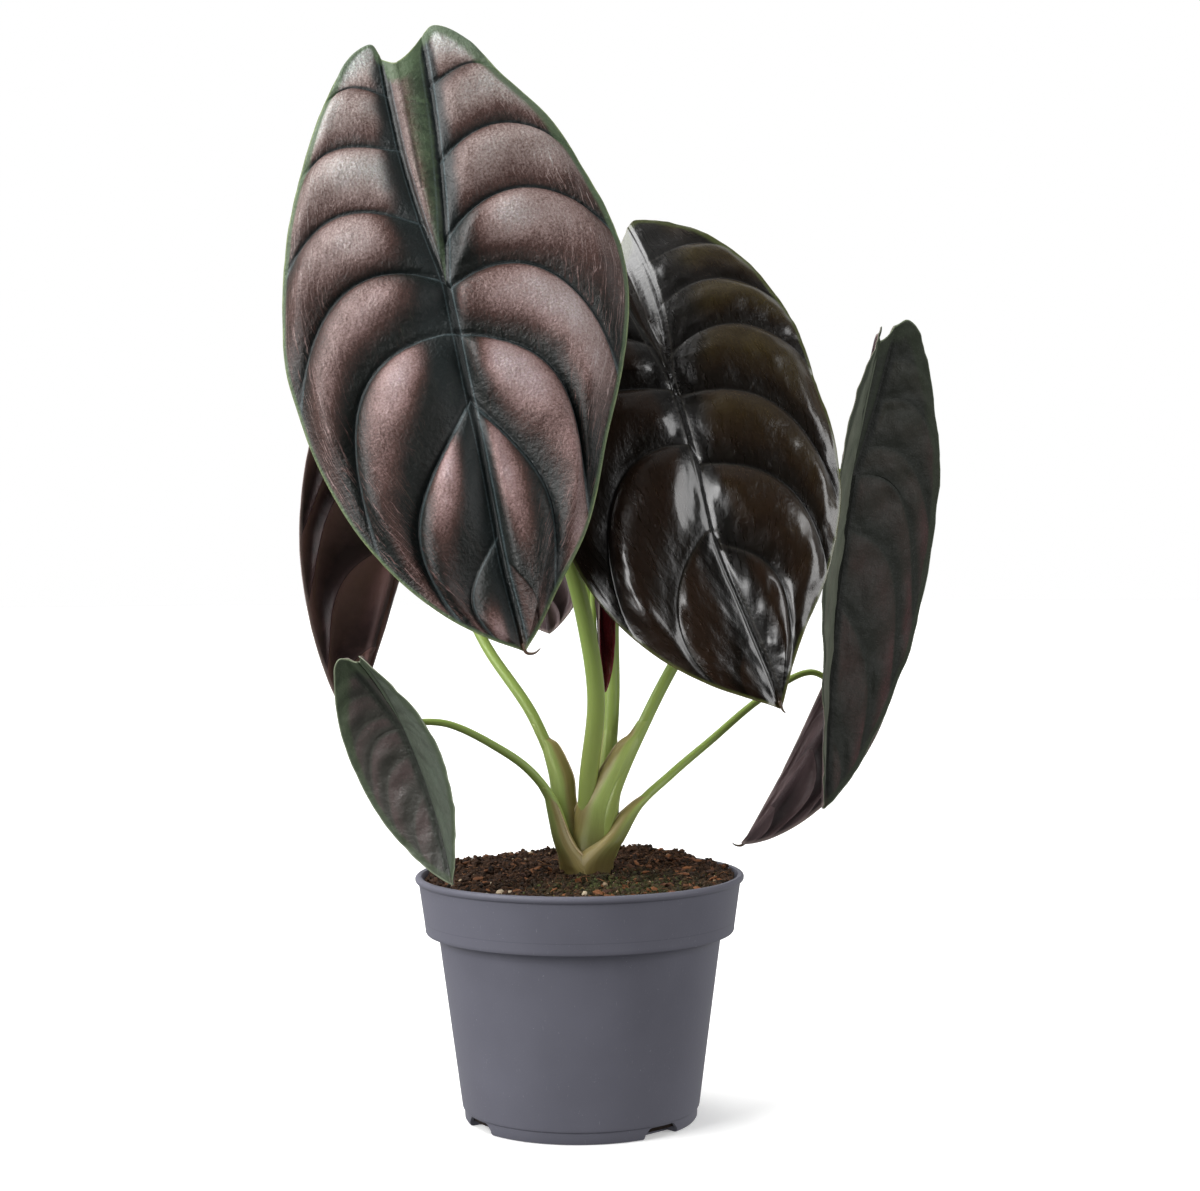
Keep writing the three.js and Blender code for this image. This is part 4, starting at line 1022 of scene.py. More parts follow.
class BladeShape:
    """The flat venation of one leaf, and its place in space, in millimetres."""

    def __init__(self, leaf: Leaf) -> None:
        """Works out the margins and the axes.

        Args:
            leaf: The leaf's sizes.
        """
        self.leaf = leaf
        junction, tip = np.array(leaf.junction, float), np.array(leaf.tip, float)
        chord = tip - junction
        turn = abs(math.radians(leaf.bend)) / 2
        self.forward = float(np.linalg.norm(chord)) * turn / math.sin(turn)
        self.margins = [
            SmoothCurve([(q * (self.forward if q > 0 else leaf.back), w * leaf.half[k])
                         for q, w in leaf.outlines[k]])
            for k in (0, 1)
        ]
        chord /= np.linalg.norm(chord)
        compass = math.radians(leaf.face)
        face = np.array([math.sin(compass), -math.cos(compass), 0.0])
        normal = face - face.dot(chord) * chord
        normal /= np.linalg.norm(normal)
        half = math.radians(leaf.bend) / 2
        self.junction = junction
        self.ahead = chord * math.cos(half) - normal * math.sin(half)
        self.up = normal * math.cos(half) + chord * math.sin(half)
        self.side = np.cross(self.up, self.ahead)

    def rib(self, side: int, q: Array) -> Array:
        """Flat places on the rib of one half.

        Args:
            side: 0 for the left half, 1 for the right.
            q: Shares from the lobe's end (-1) past the stalk (0) to the tip (1).

        Returns:
            Places along and across the leaf.
        """
        q = np.asarray(q, float)
        back = np.maximum(-q, 0)
        end = self.leaf.outlines[side][0]
        s = np.where(q < 0, back * end[0] * self.leaf.back, q * self.forward)
        gap = end[1] * self.leaf.half[side]
        return np.stack([s, gap * (1 - (1 - back) ** 2.4)], -1)

    def flat(self, side: int, rows: Array, reach: Array) -> Array:
        """Flat places of one half.

        Args:
            side: 0 for the left half, 1 for the right.
            rows: Places along the ribs, counted in veins.
            reach: Places from rib (0) to margin (1).

        Returns:
            Places along and across the leaf, by row and reach.
        """
        margin = self.margins[side]
        q = stations(self.leaf.on_rib[side], rows)
        start, share = self.rib(side, q), stations(self.leaf.on_margin[side], rows)
        end, edge = margin.at(share), margin.tangent(share)
        spine = self.rib(side, np.minimum(q + 0.02, 1)) - self.rib(side, np.maximum(q - 0.02, -1))
        spine /= np.linalg.norm(spine, axis=-1, keepdims=True)
        lean = np.radians(stations(self.leaf.lean[side], rows))[:, None]
        outward = np.stack([-spine[:, 1], spine[:, 0]], -1)
        first = outward * np.cos(lean) - spine * np.sin(lean)
        last = edge * 0.88 + np.stack([-edge[:, 1], edge[:, 0]], -1) * 0.4
        span = np.linalg.norm(end - start, axis=-1, keepdims=True)
        near, far = start + first * span * self.leaf.handles[0], end - last * span * self.leaf.handles[1]
        r = reach[None, :, None]
        inside = ((1 - r) ** 3 * start[:, None] + 3 * (1 - r) ** 2 * r * near[:, None]
                  + 3 * (1 - r) * r**2 * far[:, None] + r**3 * end[:, None])
        lobe = margin.at(share[:, None] * reach[None, :])
        blend = np.where(rows < 1, smooth(rows, 0, 1), 1)[:, None, None]
        return lobe * (1 - blend) + inside * blend

    def place(self, side: Array | int, flat: Array, height: Array | float) -> Array:
        """Bends flat places into space.

        Args:
            side: 0 or 1, for each place or for all.
            flat: Places along and across.
            height: Height over the middle surface, on the upper side.

        Returns:
            Places in millimetres.
        """
        leaf = self.leaf
        s, t = flat[..., 0], flat[..., 1]
        side = np.broadcast_to(side, s.shape)
        length = np.where(s > 0, self.forward, leaf.back)
        curve = np.radians(np.where(s > 0, leaf.bend, leaf.bend_back)) / length
        theta = curve * s
        spine = (self.junction + self.ahead * (np.sin(theta) / curve)[..., None]
                 + self.up * ((1 - np.cos(theta)) / curve)[..., None])
        normal = self.up * np.cos(theta)[..., None] - self.ahead * np.sin(theta)[..., None]
        sign = np.where(side == 0, -1.0, 1.0)
        fold = np.radians(np.where(side == 0, *leaf.fold))
        cup = np.radians(np.where(side == 0, *leaf.cup)) / np.where(side == 0, *leaf.half)
        angle = fold + cup * t
        across = sign * ((np.sin(angle) - np.sin(fold)) / cup - height * np.sin(angle))
        rise = (np.cos(fold) - np.cos(angle)) / cup + height * np.cos(angle)
        share = np.clip(t / np.where(side == 0, *leaf.half), 0, 1)
        across = across + stations(leaf.bow, 4 + 4 * np.clip(s / length, -1, 1)) * (1 - share) ** 2
        return spine + self.side * across[..., None] + normal * rise[..., None]


@dataclass(frozen=True)
class Places:
    """Places on a blade: their half (0 left, 1 right), row, reach from rib to margin, flat place and distances."""

    side: Array | int
    rows: Array
    reach: Array
    flat: Array
    gaps: dict[str, Array]


class Blade:
    """One leaf blade, finely quilted over the construction model's form, with sizes in millimetres."""

    thickness = 0.45
    rib_thickness = 1.4
    vein_thickness = 0.55
    groove_depth = 0.7
    channel_depth = 0.45
    hem_wave = 0.7
    rim_reach = 0.18
    strip_columns = 13
    lean_back = 0.7
    far_away = {"to_vein": 9.0, "from_vein": 9.0, "to_rib": 9.0, "to_margin": 3.0}

    def __init__(self, leaf: Leaf) -> None:
        """Prepares the leaf's shape.

        Args:
            leaf: The leaf's sizes.
        """
        self.leaf = leaf
        self.shape = BladeShape(leaf)
        self.parts = MeshParts()
        self.below: list[tuple[Array, dict[str, Array]]] = []
        self.seed = sum(map(ord, leaf.name))

    def rows(self) -> Array:
        """Rows from lobe to tip, closest together at the veins."""
        f = np.arange(self.leaf.steps) / self.leaf.steps
        return np.append((np.arange(LAST_ROW)[:, None] + (f - 0.1 * np.sin(2 * math.pi * f))).ravel(), LAST_ROW)

    def reach(self) -> Array:
        """Places from rib to margin, closest together at both."""
        c = np.linspace(0, 1, self.leaf.columns)
        return c - 0.07 * np.sin(2 * math.pi * c)

    def bulge(self, between: Array) -> Array:
        """Profile of a panel from one vein (0) to the next towards the tip (1): a steep rise, then a long slope."""
        return np.sin(math.pi * np.clip(between, 0, 1) ** self.lean_back) ** 1.2

    def relief(self, at: Places) -> Array:
        """Height of the upper side: panels swell, veins and ribs are sunken, and the margin waves a little.

        Args:
            at: Places on one half.

        Returns:
            Heights in millimetres.
        """
        leaf, side, rows, gaps = self.leaf, at.side, at.rows, at.gaps
        panel = np.minimum(rows.astype(int), LAST_ROW - 1)
        between = np.where(leaf.joined[side] & (rows > 6), rows / 2 - 3, rows - panel)
        swell = leaf.quilt * leaf.fullness[side] * np.array(leaf.swell[side])[panel] * self.bulge(between)
        rise = np.clip((gaps["to_rib"] - 0.6) / self.rib_shade(side, rows), 0, 1)
        swell *= np.minimum(rise, 1 - 0.55 * (1 - smooth(rise, 0, 1.6) * 1.1))
        swell *= 1 - 0.95 * smooth(at.reach, 0.72, 1)
        depth = self.groove_depth * leaf.grown * np.array(leaf.groove[side])[np.rint(rows).astype(int)]
        groove = depth * bell(gaps["to_vein"], 1.1) * (1 - smooth(at.reach, 0.8, 1))
        quiet = smooth(gaps["to_vein"], 0.5, 4) * smooth(gaps["to_rib"], 1, 5)
        places = np.concatenate([at.flat, np.full(at.flat.shape[:-1] + (1,), side * 40.0)], -1)
        ripple = leaf.ripple * quiet * (waves(places, 16, self.seed) + 0.5 * waves(places, 6, self.seed + 1))
        hem = (1 - smooth(gaps["to_margin"], 0, 9)) * self.hem_wave * leaf.grown * waves(places, 26, self.seed + 2)
        return swell - groove - self.channel(gaps["to_rib"]) + ripple + hem

    def channel(self, to_rib: Array) -> Array:
        """Depth of the channel that the rib lies in, by the distance from the rib."""
        return self.channel_depth * self.leaf.grown * (1 - smooth(to_rib, 0.4, 1.7))

    def depth(self, rows: Array, gaps: dict[str, Array]) -> Array:
        """How far the underside lies below: thick along ribs and veins, thin in the panels and at the margin.

        Args:
            rows: Row of each place.
            gaps: Distances to the veins, ribs and margin.

        Returns:
            Thicknesses in millimetres.
        """
        size = math.sqrt(self.leaf.grown)
        rib = self.rib_thickness * size * (1 - 0.5 * rows / LAST_ROW) * (1 - smooth(gaps["to_rib"], 0, 2.6))
        vein = self.vein_thickness * size * bell(gaps["to_vein"], 0.9) * smooth(gaps["to_margin"], 1, 8)
        return self.thickness - 0.12 * (1 - smooth(gaps["to_margin"], 0, 2)) + rib + vein

    def gaps(self, side: int, rows: Array, flat: Array) -> dict[str, Array]:
        """Distances of flat places to the nearest vein, the vein before them, the rib and the margin.

        Args:
            side: 0 for the left half, 1 for the right.
            rows: Rows of the places.
            flat: The places by row and reach.

        Returns:
            Distances in millimetres by attribute name.
        """
        draw = np.linspace(0, 1, 70)
        veins = self.shape.flat(side, np.arange(1.0, LAST_ROW - self.leaf.joined[side]), draw)
        each = np.array([nearest(flat, line) for line in veins])
        panel = np.minimum(rows.astype(int), LAST_ROW - 1)
        above = np.take_along_axis(each, np.clip(panel - 1, 0, len(each) - 1)[None, :, None], 0)[0]
        above = np.where(panel[:, None] == 0, 6.0, above)
        return {
            "to_vein": each.min(0),
            "from_vein": above,
            "to_rib": nearest(flat, self.shape.rib(side, np.linspace(-1, 1, 260))),
            "to_margin": nearest(flat, self.shape.margins[side].at(np.linspace(0, 1, 320))),
        }

    def half(self, side: int) -> Array:
        """Adds one half of the upper sheet.

        Args:
            side: 0 for the left half, 1 for the right.

        Returns:
            Its point numbers by row and reach.
        """
        rows, reach = self.rows(), self.reach()
        flat = self.shape.flat(side, rows, reach)
        flat[:, 0] = self.shape.rib(side, stations(self.leaf.on_rib[side], rows))
        whole = [np.broadcast_to(values, flat.shape[:-1]) for values in (rows[:, None], reach[None, :])]
        at = Places(side, *whole, flat, self.gaps(side, rows, flat))
        return self.sheet_points(at, self.relief(at), {})

    def sheet_points(self, at: Places, height: Array, shares: Mapping[str, Array]) -> Array:
        """Adds points of the upper sheet, and remembers those below them.

        Args:
            at: The places.
            height: Heights of the upper side.
            shares: Paint that differs from the usual.

        Returns:
            The point numbers.
        """
        upper = self.shape.place(at.side, at.flat, height) * MM
        lower = self.shape.place(at.side, at.flat, height - self.depth(at.rows, at.gaps)) * MM
        offset = np.where(np.broadcast_to(at.side, at.rows.shape) == 0, 0.0, 300.0)
        grain = np.stack([at.reach * self.leaf.half[0] * 1.1 + offset, at.rows * 2.2, offset], -1)
        plane = np.stack([at.flat[..., 0], at.flat[..., 1] * np.where(offset > 0, 1, -1), offset], -1)
        values = {"row": at.rows, "grain": grain, "flat": plane, **self.paint(at), **at.gaps, **shares}
        self.below.append((lower, values))
        return self.parts.add_points(upper, **values)

    def paint(self, at: Places) -> dict[str, Array]:
        """Where the upper side is lit copper, teal, green, warm, pale or hairy, each from 0 to 1.

        Args:
            at: The places.

        Returns:
            The shares by attribute name.
        """
        leaf, rows, reach, gaps = self.leaf, at.rows, at.reach, at.gaps
        left = np.equal(at.side, 0)
        panel = np.minimum(rows.astype(int), LAST_ROW - 1)
        # Painted light and shade: each crest paints the lit share of a panel, kept dark beside the rib as painted
        # shade; the teal share paints the dark veins, deeper in the grooves, and painted shade beside the rib
        tables = [np.array([(c.near, c.far, c.width, *c.light, c.shade) for c in half]) for half in leaf.crests]
        near, far, width, inner, middle, outer, dark = (
            np.where(left, *(table[panel, k] for table in tables)) for k in range(tables[0].shape[1]))
        light = (inner * (1 - reach) * (1 - 2 * reach) + 4 * middle * reach * (1 - reach)
                 + outer * reach * (2 * reach - 1))
        lit = np.clip(light, 0, 1.2) * bell(rows - panel - near - (far - near) * reach, width)
        dark = dark * leaf.grown
        lit = lit * (0.04 + 0.96 * smooth(gaps["to_rib"], 0.3 * dark, 1.05 * dark))
        shade = self.rib_shade(at.side, rows)
        by_rib = 1 - smooth(gaps["to_rib"], 0.25 * shade, shade)
        size = math.sqrt(leaf.grown)
        depth = np.where(left, *(np.array(half)[np.rint(rows).astype(int)] for half in leaf.groove))
        by_vein = depth * (1 - smooth(gaps["to_vein"], 0.3 * size, 1.5 * size))
        broad, slim = (np.where(left, *pair) for pair in zip(*leaf.green_width))
        border = slim + (broad - slim) * (1 - smooth(rows, 0.8, 4.5)) * (0.3 + 0.7 * smooth(rows, 0, 0.8))
        return {
            "lit": lit * smooth(gaps["from_vein"], 0.1, 1.8),
            "teal": np.maximum(by_vein, by_rib * 0.85),
            "green": 1 - smooth(gaps["to_margin"], border * 0.35, border * 1.5),
            "warm": (np.where(left, *leaf.warm) + leaf.warm_tip * smooth(rows, 1, 6.5)
                     + leaf.warm_margin * smooth(reach, 0.45, 0.95)),
            "pale": np.where(left, *leaf.pale) * np.ones_like(rows),
            "hair": 0.15 + 0.85 * smooth(reach, 0.35, 0.8),
        }

    def rib_shade(self, side: Array | int, rows: Array) -> Array:
        """How far from the rib a panel is still low and dark, in millimetres."""
        left, right = (stations(self.leaf.rib_shade[k], rows) for k in (0, 1))
        return np.where(np.equal(side, 0), left, right) * self.leaf.grown

    def strip(self, left: Array, right: Array) -> Array:
        """Adds the panel between the two back ribs.

        Args:
            left: Point numbers of the left half.
            right: Point numbers of the right half.

        Returns:
            Point numbers by row, from one rib to the other.
        """
        leaf = self.leaf
        stalk = STALK_ROW * leaf.steps
        rows = self.rows()[:stalk]
        both = [stations(leaf.on_rib[k], rows) for k in (0, 1)]
        q = (both[0] + both[1]) / 2
        across = np.linspace(-1, 1, self.strip_columns)[1:-1]
        side = np.broadcast_to(np.where(across < 0, 0, 1), (len(rows), len(across)))
        ribs = [self.shape.rib(k, both[k]) for k in (0, 1)]
        middle = (ribs[0][:, 0] + ribs[1][:, 0]) / 2
        own = np.where(side == 0, ribs[0][:, :1], ribs[1][:, :1])
        gap = np.where(side == 0, ribs[0][:, 1:], ribs[1][:, 1:])
        w = np.abs(across)[None, :]
        notch = 0.07 * leaf.back * (smooth(-q, 0.8, 1)[:, None]) * (1 - w**2)
        s = middle[:, None] * (1 - w) + own * w + notch
        flat = np.stack([s, gap * w], -1)
        to_rib = gap * (1 - w)
        opening = smooth(-q, 0.05, 0.4)[:, None]
        form = (1 - w**2) ** 0.8 if leaf.strip > 0 else 1 - w**1.6
        height = leaf.strip * form * opening - self.channel(to_rib)
        whole_rows = np.broadcast_to(rows[:, None], s.shape)
        end = s[:1] * np.ones_like(s)
        gaps = {"to_vein": np.full(s.shape, 9.0), "from_vein": np.full(s.shape, 5.0),
                "to_rib": to_rib, "to_margin": np.abs(s - end)}
        # Painted light left of the strip's middle, painted shade beside both ribs, and green at the notch and to the
        # right
        shares = {"lit": 0.34 * bell(across + 0.25, 0.5)[None, :] * (0.1 + 0.9 * opening),
                  "teal": 0.9 * smooth(w, 0.6, 1) * np.ones_like(s),
                  "green": np.maximum(1 - smooth(gaps["to_margin"], 3, 12),
                                      leaf.strip_green * smooth(across, -0.9, 0.6)[None, :])}
        inner = self.sheet_points(Places(side, whole_rows, np.zeros(s.shape), flat, gaps), height, shares)
        grid = np.concatenate([left[:stalk, :1], inner, right[:stalk, :1]], 1)
        return np.vstack([grid, np.full(grid.shape[1], left[stalk, 0])])

    def build(self) -> Piece:
        """Makes the blade as a closed, rounded sheet with a skin on each side.

        Returns:
            The blade.
        """
        stalk = STALK_ROW * self.leaf.steps
        left, right = self.half(0), self.half(1)
        right[stalk:, 0] = left[stalk:, 0]
        left[-1, :] = left[-1, 0]
        right[-1, :] = left[-1, 0]
        strip = self.strip(left, right)
        self.parts.add_grid(left)
        self.parts.add_grid(right[:, ::-1])
        self.parts.add_grid(strip[:, ::-1])
        self.close()
        if self.leaf.hook:
            self.add_hook()
        return self.parts.build(f"leaf_{self.leaf.name}", (UPPER_SKINS[self.leaf.skin], UNDER_SKINS[self.leaf.under]))

    def close(self) -> None:
        """Adds the underside and a rounded rim."""
        parts = self.parts
        top = list(parts.faces)
        count = parts.count
        upper = np.vstack(parts.points)
        edges = {(a, b) for face in top for a, b in zip(face, face[1:] + face[:1])}
        rim = [(a, b) for a, b in edges if (b, a) not in edges]
        under = MeshParts()
        for points, values in self.below:
            under.add_points(points, **values)
        lower = np.vstack(under.points)
        flattened = {key: np.concatenate(value) for key, value in under.values.items()}
        parts.add_points(lower, **flattened)
        parts.add_faces([tuple(i + count for i in reversed(face)) for face in top], slot=1)

        outward = np.zeros_like(upper)
        thick = upper - lower
        for a, b in rim:
            way = np.cross(upper[b] - upper[a], thick[a])
            outward[a] += way
            outward[b] += way
        sizes = np.linalg.norm(outward, axis=1, keepdims=True)
        outward = outward / np.maximum(sizes, 1e-12)
        middle = (upper + lower) / 2 + outward * self.rim_reach * MM
        parts.add_points(middle, **flattened)
        for a, b in rim:
            parts.add_faces([(b, a, a + 2 * count, b + 2 * count)], slot=0)
            parts.add_faces([(b + 2 * count, a + 2 * count, a + count, b + count)], slot=1)

    def add_hook(self) -> None:
        """Adds the thread-like end that the tip is drawn out to."""
        tip = np.array(self.leaf.tip)
        before = self.shape.place(0, np.array([[self.shape.forward - 2.5, 0.0]]), np.array([-0.3]))[0]
        path = SmoothCurve([before, tip, *[tip + np.array(step) for step in self.leaf.hook]])
        paint = dict.fromkeys(("teal", "green", "pale", "hair"), 0.0)
        add_sweep(self.parts, path, lambda u: 0.62 * (1 - u) ** 0.7 + 0.12, 8, 18,
                  values={"row": LAST_ROW, "lit": 0.1, "warm": 1.0, **paint, **self.far_away})


def add_sweep(parts: MeshParts, path: SmoothCurve, radius: Callable[[Array], Array], sides: int, steps: int,
              slot: int = 0, values: Mapping[str, float] | None = None) -> None:
    """Adds a round closed sweep along a path in millimetres.

    Args:
        parts: Where to add it.
        path: Its middle line.
        radius: Radius for shares of the path.
        sides: Points round it.
        steps: Steps along it.
        slot: Material slot.
        values: Further values that are the same at every point.
    """
    u = np.linspace(0, 1, steps + 1)
    centre, tangent = path.at(u), path.tangent(u)
    across = np.cross(tangent[0], [0.3, 1.0, 0.2])
    rings = []
    for way in tangent:
        across = across - across.dot(way) * way
        across /= np.linalg.norm(across)
        rings.append((across.copy(), np.cross(way, across)))
    turn = np.linspace(0, 2 * math.pi, sides, endpoint=False)
    size = np.broadcast_to(radius(u), u.shape)
    points = np.stack([c + r * (np.outer(np.cos(turn), a) + np.outer(np.sin(turn), b))
                       for c, r, (a, b) in zip(centre, size, rings)])
    grain = np.stack(np.broadcast_arrays(np.cos(turn) * 3.2, np.sin(turn) * 3.2, u[:, None] * path.length / 14), -1)
    extra = dict(values or {})
    if "flat" in parts.values:
        extra["flat"] = points
    if "along" in parts.values or not parts.values:
        extra["along"] = u[:, None]
    grid = parts.add_points(points * MM, grain=grain, **extra)
    parts.add_grid(grid, slot, closed=True)
    parts.add_faces([tuple(grid[0, ::-1]), tuple(grid[-1])], slot)


class Stalk:
    """One leaf stalk, from inside the crown to the underside of its blade, with sizes in millimetres."""

    sides = 24
    step = 1.6
    swelling = 0.12

    def __init__(self, leaf: Leaf) -> None:
        """Lays out the stalk's middle line.

        Args:
            leaf: The leaf that it carries.
        """
        self.leaf = leaf
        shape = BladeShape(leaf)
        below, top = (shape.place(0, np.zeros((1, 2)), np.array([height]))[0]
                      for height in (-1.6 - 3 * leaf.stalk_radius[1], -1.2))
        self.path = SmoothCurve([*leaf.via, below, top])

    def radius(self, u: Array) -> Array:
        """Radius along the stalk: slim, with a slight swelling under the blade.

        Args:
            u: Shares of the length.

        Returns:
            Radii in millimetres.
        """
        low, top = self.leaf.stalk_radius
        sheath = self.leaf.sheath_end
        slim = low + (top - low) * np.clip((u - sheath) / (1 - sheath), 0, 1)
        return slim * (1 + self.swelling * smooth(u, 0.93, 0.985))

    def build(self) -> Piece:
        """Makes the stalk.

        Returns:
            The stalk.
        """
        parts = MeshParts()
        add_sweep(parts, self.path, self.radius, self.sides, int(self.path.length / self.step))
        return parts.build(f"petiole_{self.leaf.name}", (StalkSkin(),))


@dataclass(frozen=True)
class Sheath:
    """One leaf sheath: sections with height, place of the centre and half sizes, all in millimetres.

    rim is the direction, in degrees from +X towards +Y, in which its free edge lies, and rim_from and rim_to are
    the shares of its length between which that edge runs.
    """

    name: str
    sections: tuple[tuple[float, float, float, float, float], ...]
    rim: float
    rim_from: float
    rim_to: float


SHEATHS = (
    Sheath("left_low", (
        (84, 2.4, -1.5, 9.2, 8.6), (91.3, 1.0, -2.2, 8.4, 8.0), (93.9, -0.9, -3.4, 6.6, 7.2),
        (97.2, -2.6, -4.6, 5.4, 6.0), (100.2, -4.6, -5.6, 4.3, 5.0), (104.6, -6.5, -6.6, 3.6, 3.9),
        (110.5, -8.2, -7.4, 3.0, 3.0), (116.5, -9.9, -8.5, 2.35, 2.3), (118.5, -10.7, -9.2, 1.9, 1.9),
        (123, -13.0, -11.2, 1.8, 1.8),
    ), -38, 0.12, 0.8),
    Sheath("right_low", (
        (84, 3.4, -0.8, 9.2, 8.6), (91.3, 3.4, -1.6, 9.0, 8.6), (95.5, 4.6, -2.6, 8.4, 8.0),
        (99.1, 7.4, -3.4, 7.1, 6.9), (102, 10.4, -3.6, 5.9, 5.9), (104.6, 12.8, -3.2, 5.0, 5.0),
        (109, 15.9, -2.4, 4.2, 4.2), (112.3, 18.3, -1.8, 3.7, 3.5), (116.5, 22.4, -0.2, 2.7, 2.6),
        (118.5, 25.0, 1.6, 2.0, 2.0), (122, 29.6, 4.4, 1.75, 1.75),
    ), -150, 0.2, 0.86),
    Sheath("far_right", (
        (84, 3.5, 0, 9, 8), (99, 4.0, 0.2, 8.9, 7.8), (106.4, 5.6, -0.4, 8.8, 7.2), (115, 6.8, -1.4, 8.0, 6.4),
        (121.4, 9.6, -2.2, 6.3, 5.4), (128.5, 13.2, -2.4, 5.4, 4.6), (135, 16.6, -1.6, 4.7, 4.0),
        (138.6, 18.8, -0.6, 4.0, 3.5), (141, 20.9, 0.2, 2.75, 2.75), (146, 24.3, 1.6, 2.5, 2.5),
    ), -168, 0.36, 0.9),
    Sheath("left_rear", (
        (84, 1.4, 1.5, 8, 7.4), (99.1, -1.8, 1.6, 6.6, 6.2), (108.5, -4.2, 0.6, 5.0, 4.8),
        (117.5, -5.6, 0.4, 4.6, 4.2), (125.1, -6.4, 1.4, 4.7, 3.8), (130.4, -8.0, 2.4, 4.3, 3.4),
        (135.4, -9.9, 3.6, 3.7, 2.9), (138.2, -11.2, 4.2, 3.0, 2.6), (140, -13.4, 4.8, 2.3, 2.3),
        (145, -15.8, 5.7, 2.1, 2.1),
    ), -20, 0.34, 0.88),
    Sheath("right", (
        (84, 4, 4, 7.5, 7), (105, 6.6, 5.4, 6.0, 5.6), (122, 9.4, 6.9, 4.7, 4.5), (136, 10.8, 7.4, 3.6, 3.5),
        (146, 11.6, 7.7, 2.6, 2.6),
    ), 170, 0.5, 0.9),
    Sheath("rear", (
        (84, 1, 5, 7, 6.6), (105, 2.4, 10, 4.8, 4.6), (120, 3.5, 14, 3.4, 3.2), (130, 4.4, 15.2, 2.4, 2.4),
    ), -100, 0.5, 0.9),
)


class Crown:
    """The crown: overlapping leaf sheaths round the short stem, each with a thin free edge, in millimetres."""

    sides = 40
    steps = 70
    edge_radius = 0.36
    soil_level = 91.0
    fibre_length = 14.0

    def add_sheath(self, parts: MeshParts, sheath: Sheath) -> None:
        """Adds one sheath and its edge.

        Args:
            parts: Where to add them.
            sheath: The sheath's sections.
        """
        curve = SmoothCurve(sheath.sections, per_span=14)
        u = np.linspace(0, 1, self.steps)
        z, x, y, wide, deep = curve.at(u).T
        turn = np.linspace(-math.pi, math.pi, self.sides, endpoint=False)
        rim = math.radians(sheath.rim)
        wrinkle = 1 + 0.012 * np.sin(turn * 9)
        points = np.stack([
            x[:, None] + wide[:, None] * np.cos(turn) * wrinkle, y[:, None] + deep[:, None] * np.sin(turn) * wrinkle,
            np.broadcast_to(z[:, None], (len(u), self.sides))], -1)
        spread = smooth(u, sheath.rim_from - 0.25, sheath.rim_from + 0.1) * (1 - smooth(u, sheath.rim_to, 1))
        membrane = smooth(np.cos(turn - rim), 0.05, 0.95)[None, :] * spread[:, None]
        grain = np.stack(np.broadcast_arrays(np.cos(turn) * 4.5, np.sin(turn) * 4.5,
                                             z[:, None] / self.fibre_length), -1)
        grid = parts.add_points(points * MM, membrane=membrane, grain=grain, rise=points[..., 2] - self.soil_level)
        parts.add_grid(grid, 0, closed=True)
        parts.add_faces([tuple(grid[0, ::-1]), tuple(grid[-1])])

        v = np.linspace(sheath.rim_from, sheath.rim_to, 16)
        z, x, y, wide, deep = curve.at(v).T
        edge = np.stack([x + wide * math.cos(rim) * 1.01, y + deep * math.sin(rim) * 1.01, z], -1)
        add_sweep(parts, SmoothCurve(edge), lambda t: self.edge_radius * (0.35 + 0.65 * np.sin(math.pi * t) ** 0.5),
                  8, 60, slot=1, values={"membrane": 1.0, "rise": 30.0})

    def build(self) -> Piece:
        """Makes the crown.

        Returns:
            The crown.
        """
        parts = MeshParts()
        for sheath in SHEATHS:
            self.add_sheath(parts, sheath)
        return parts.build("crown_sheaths", (SheathSkin(), MembraneEdge()))


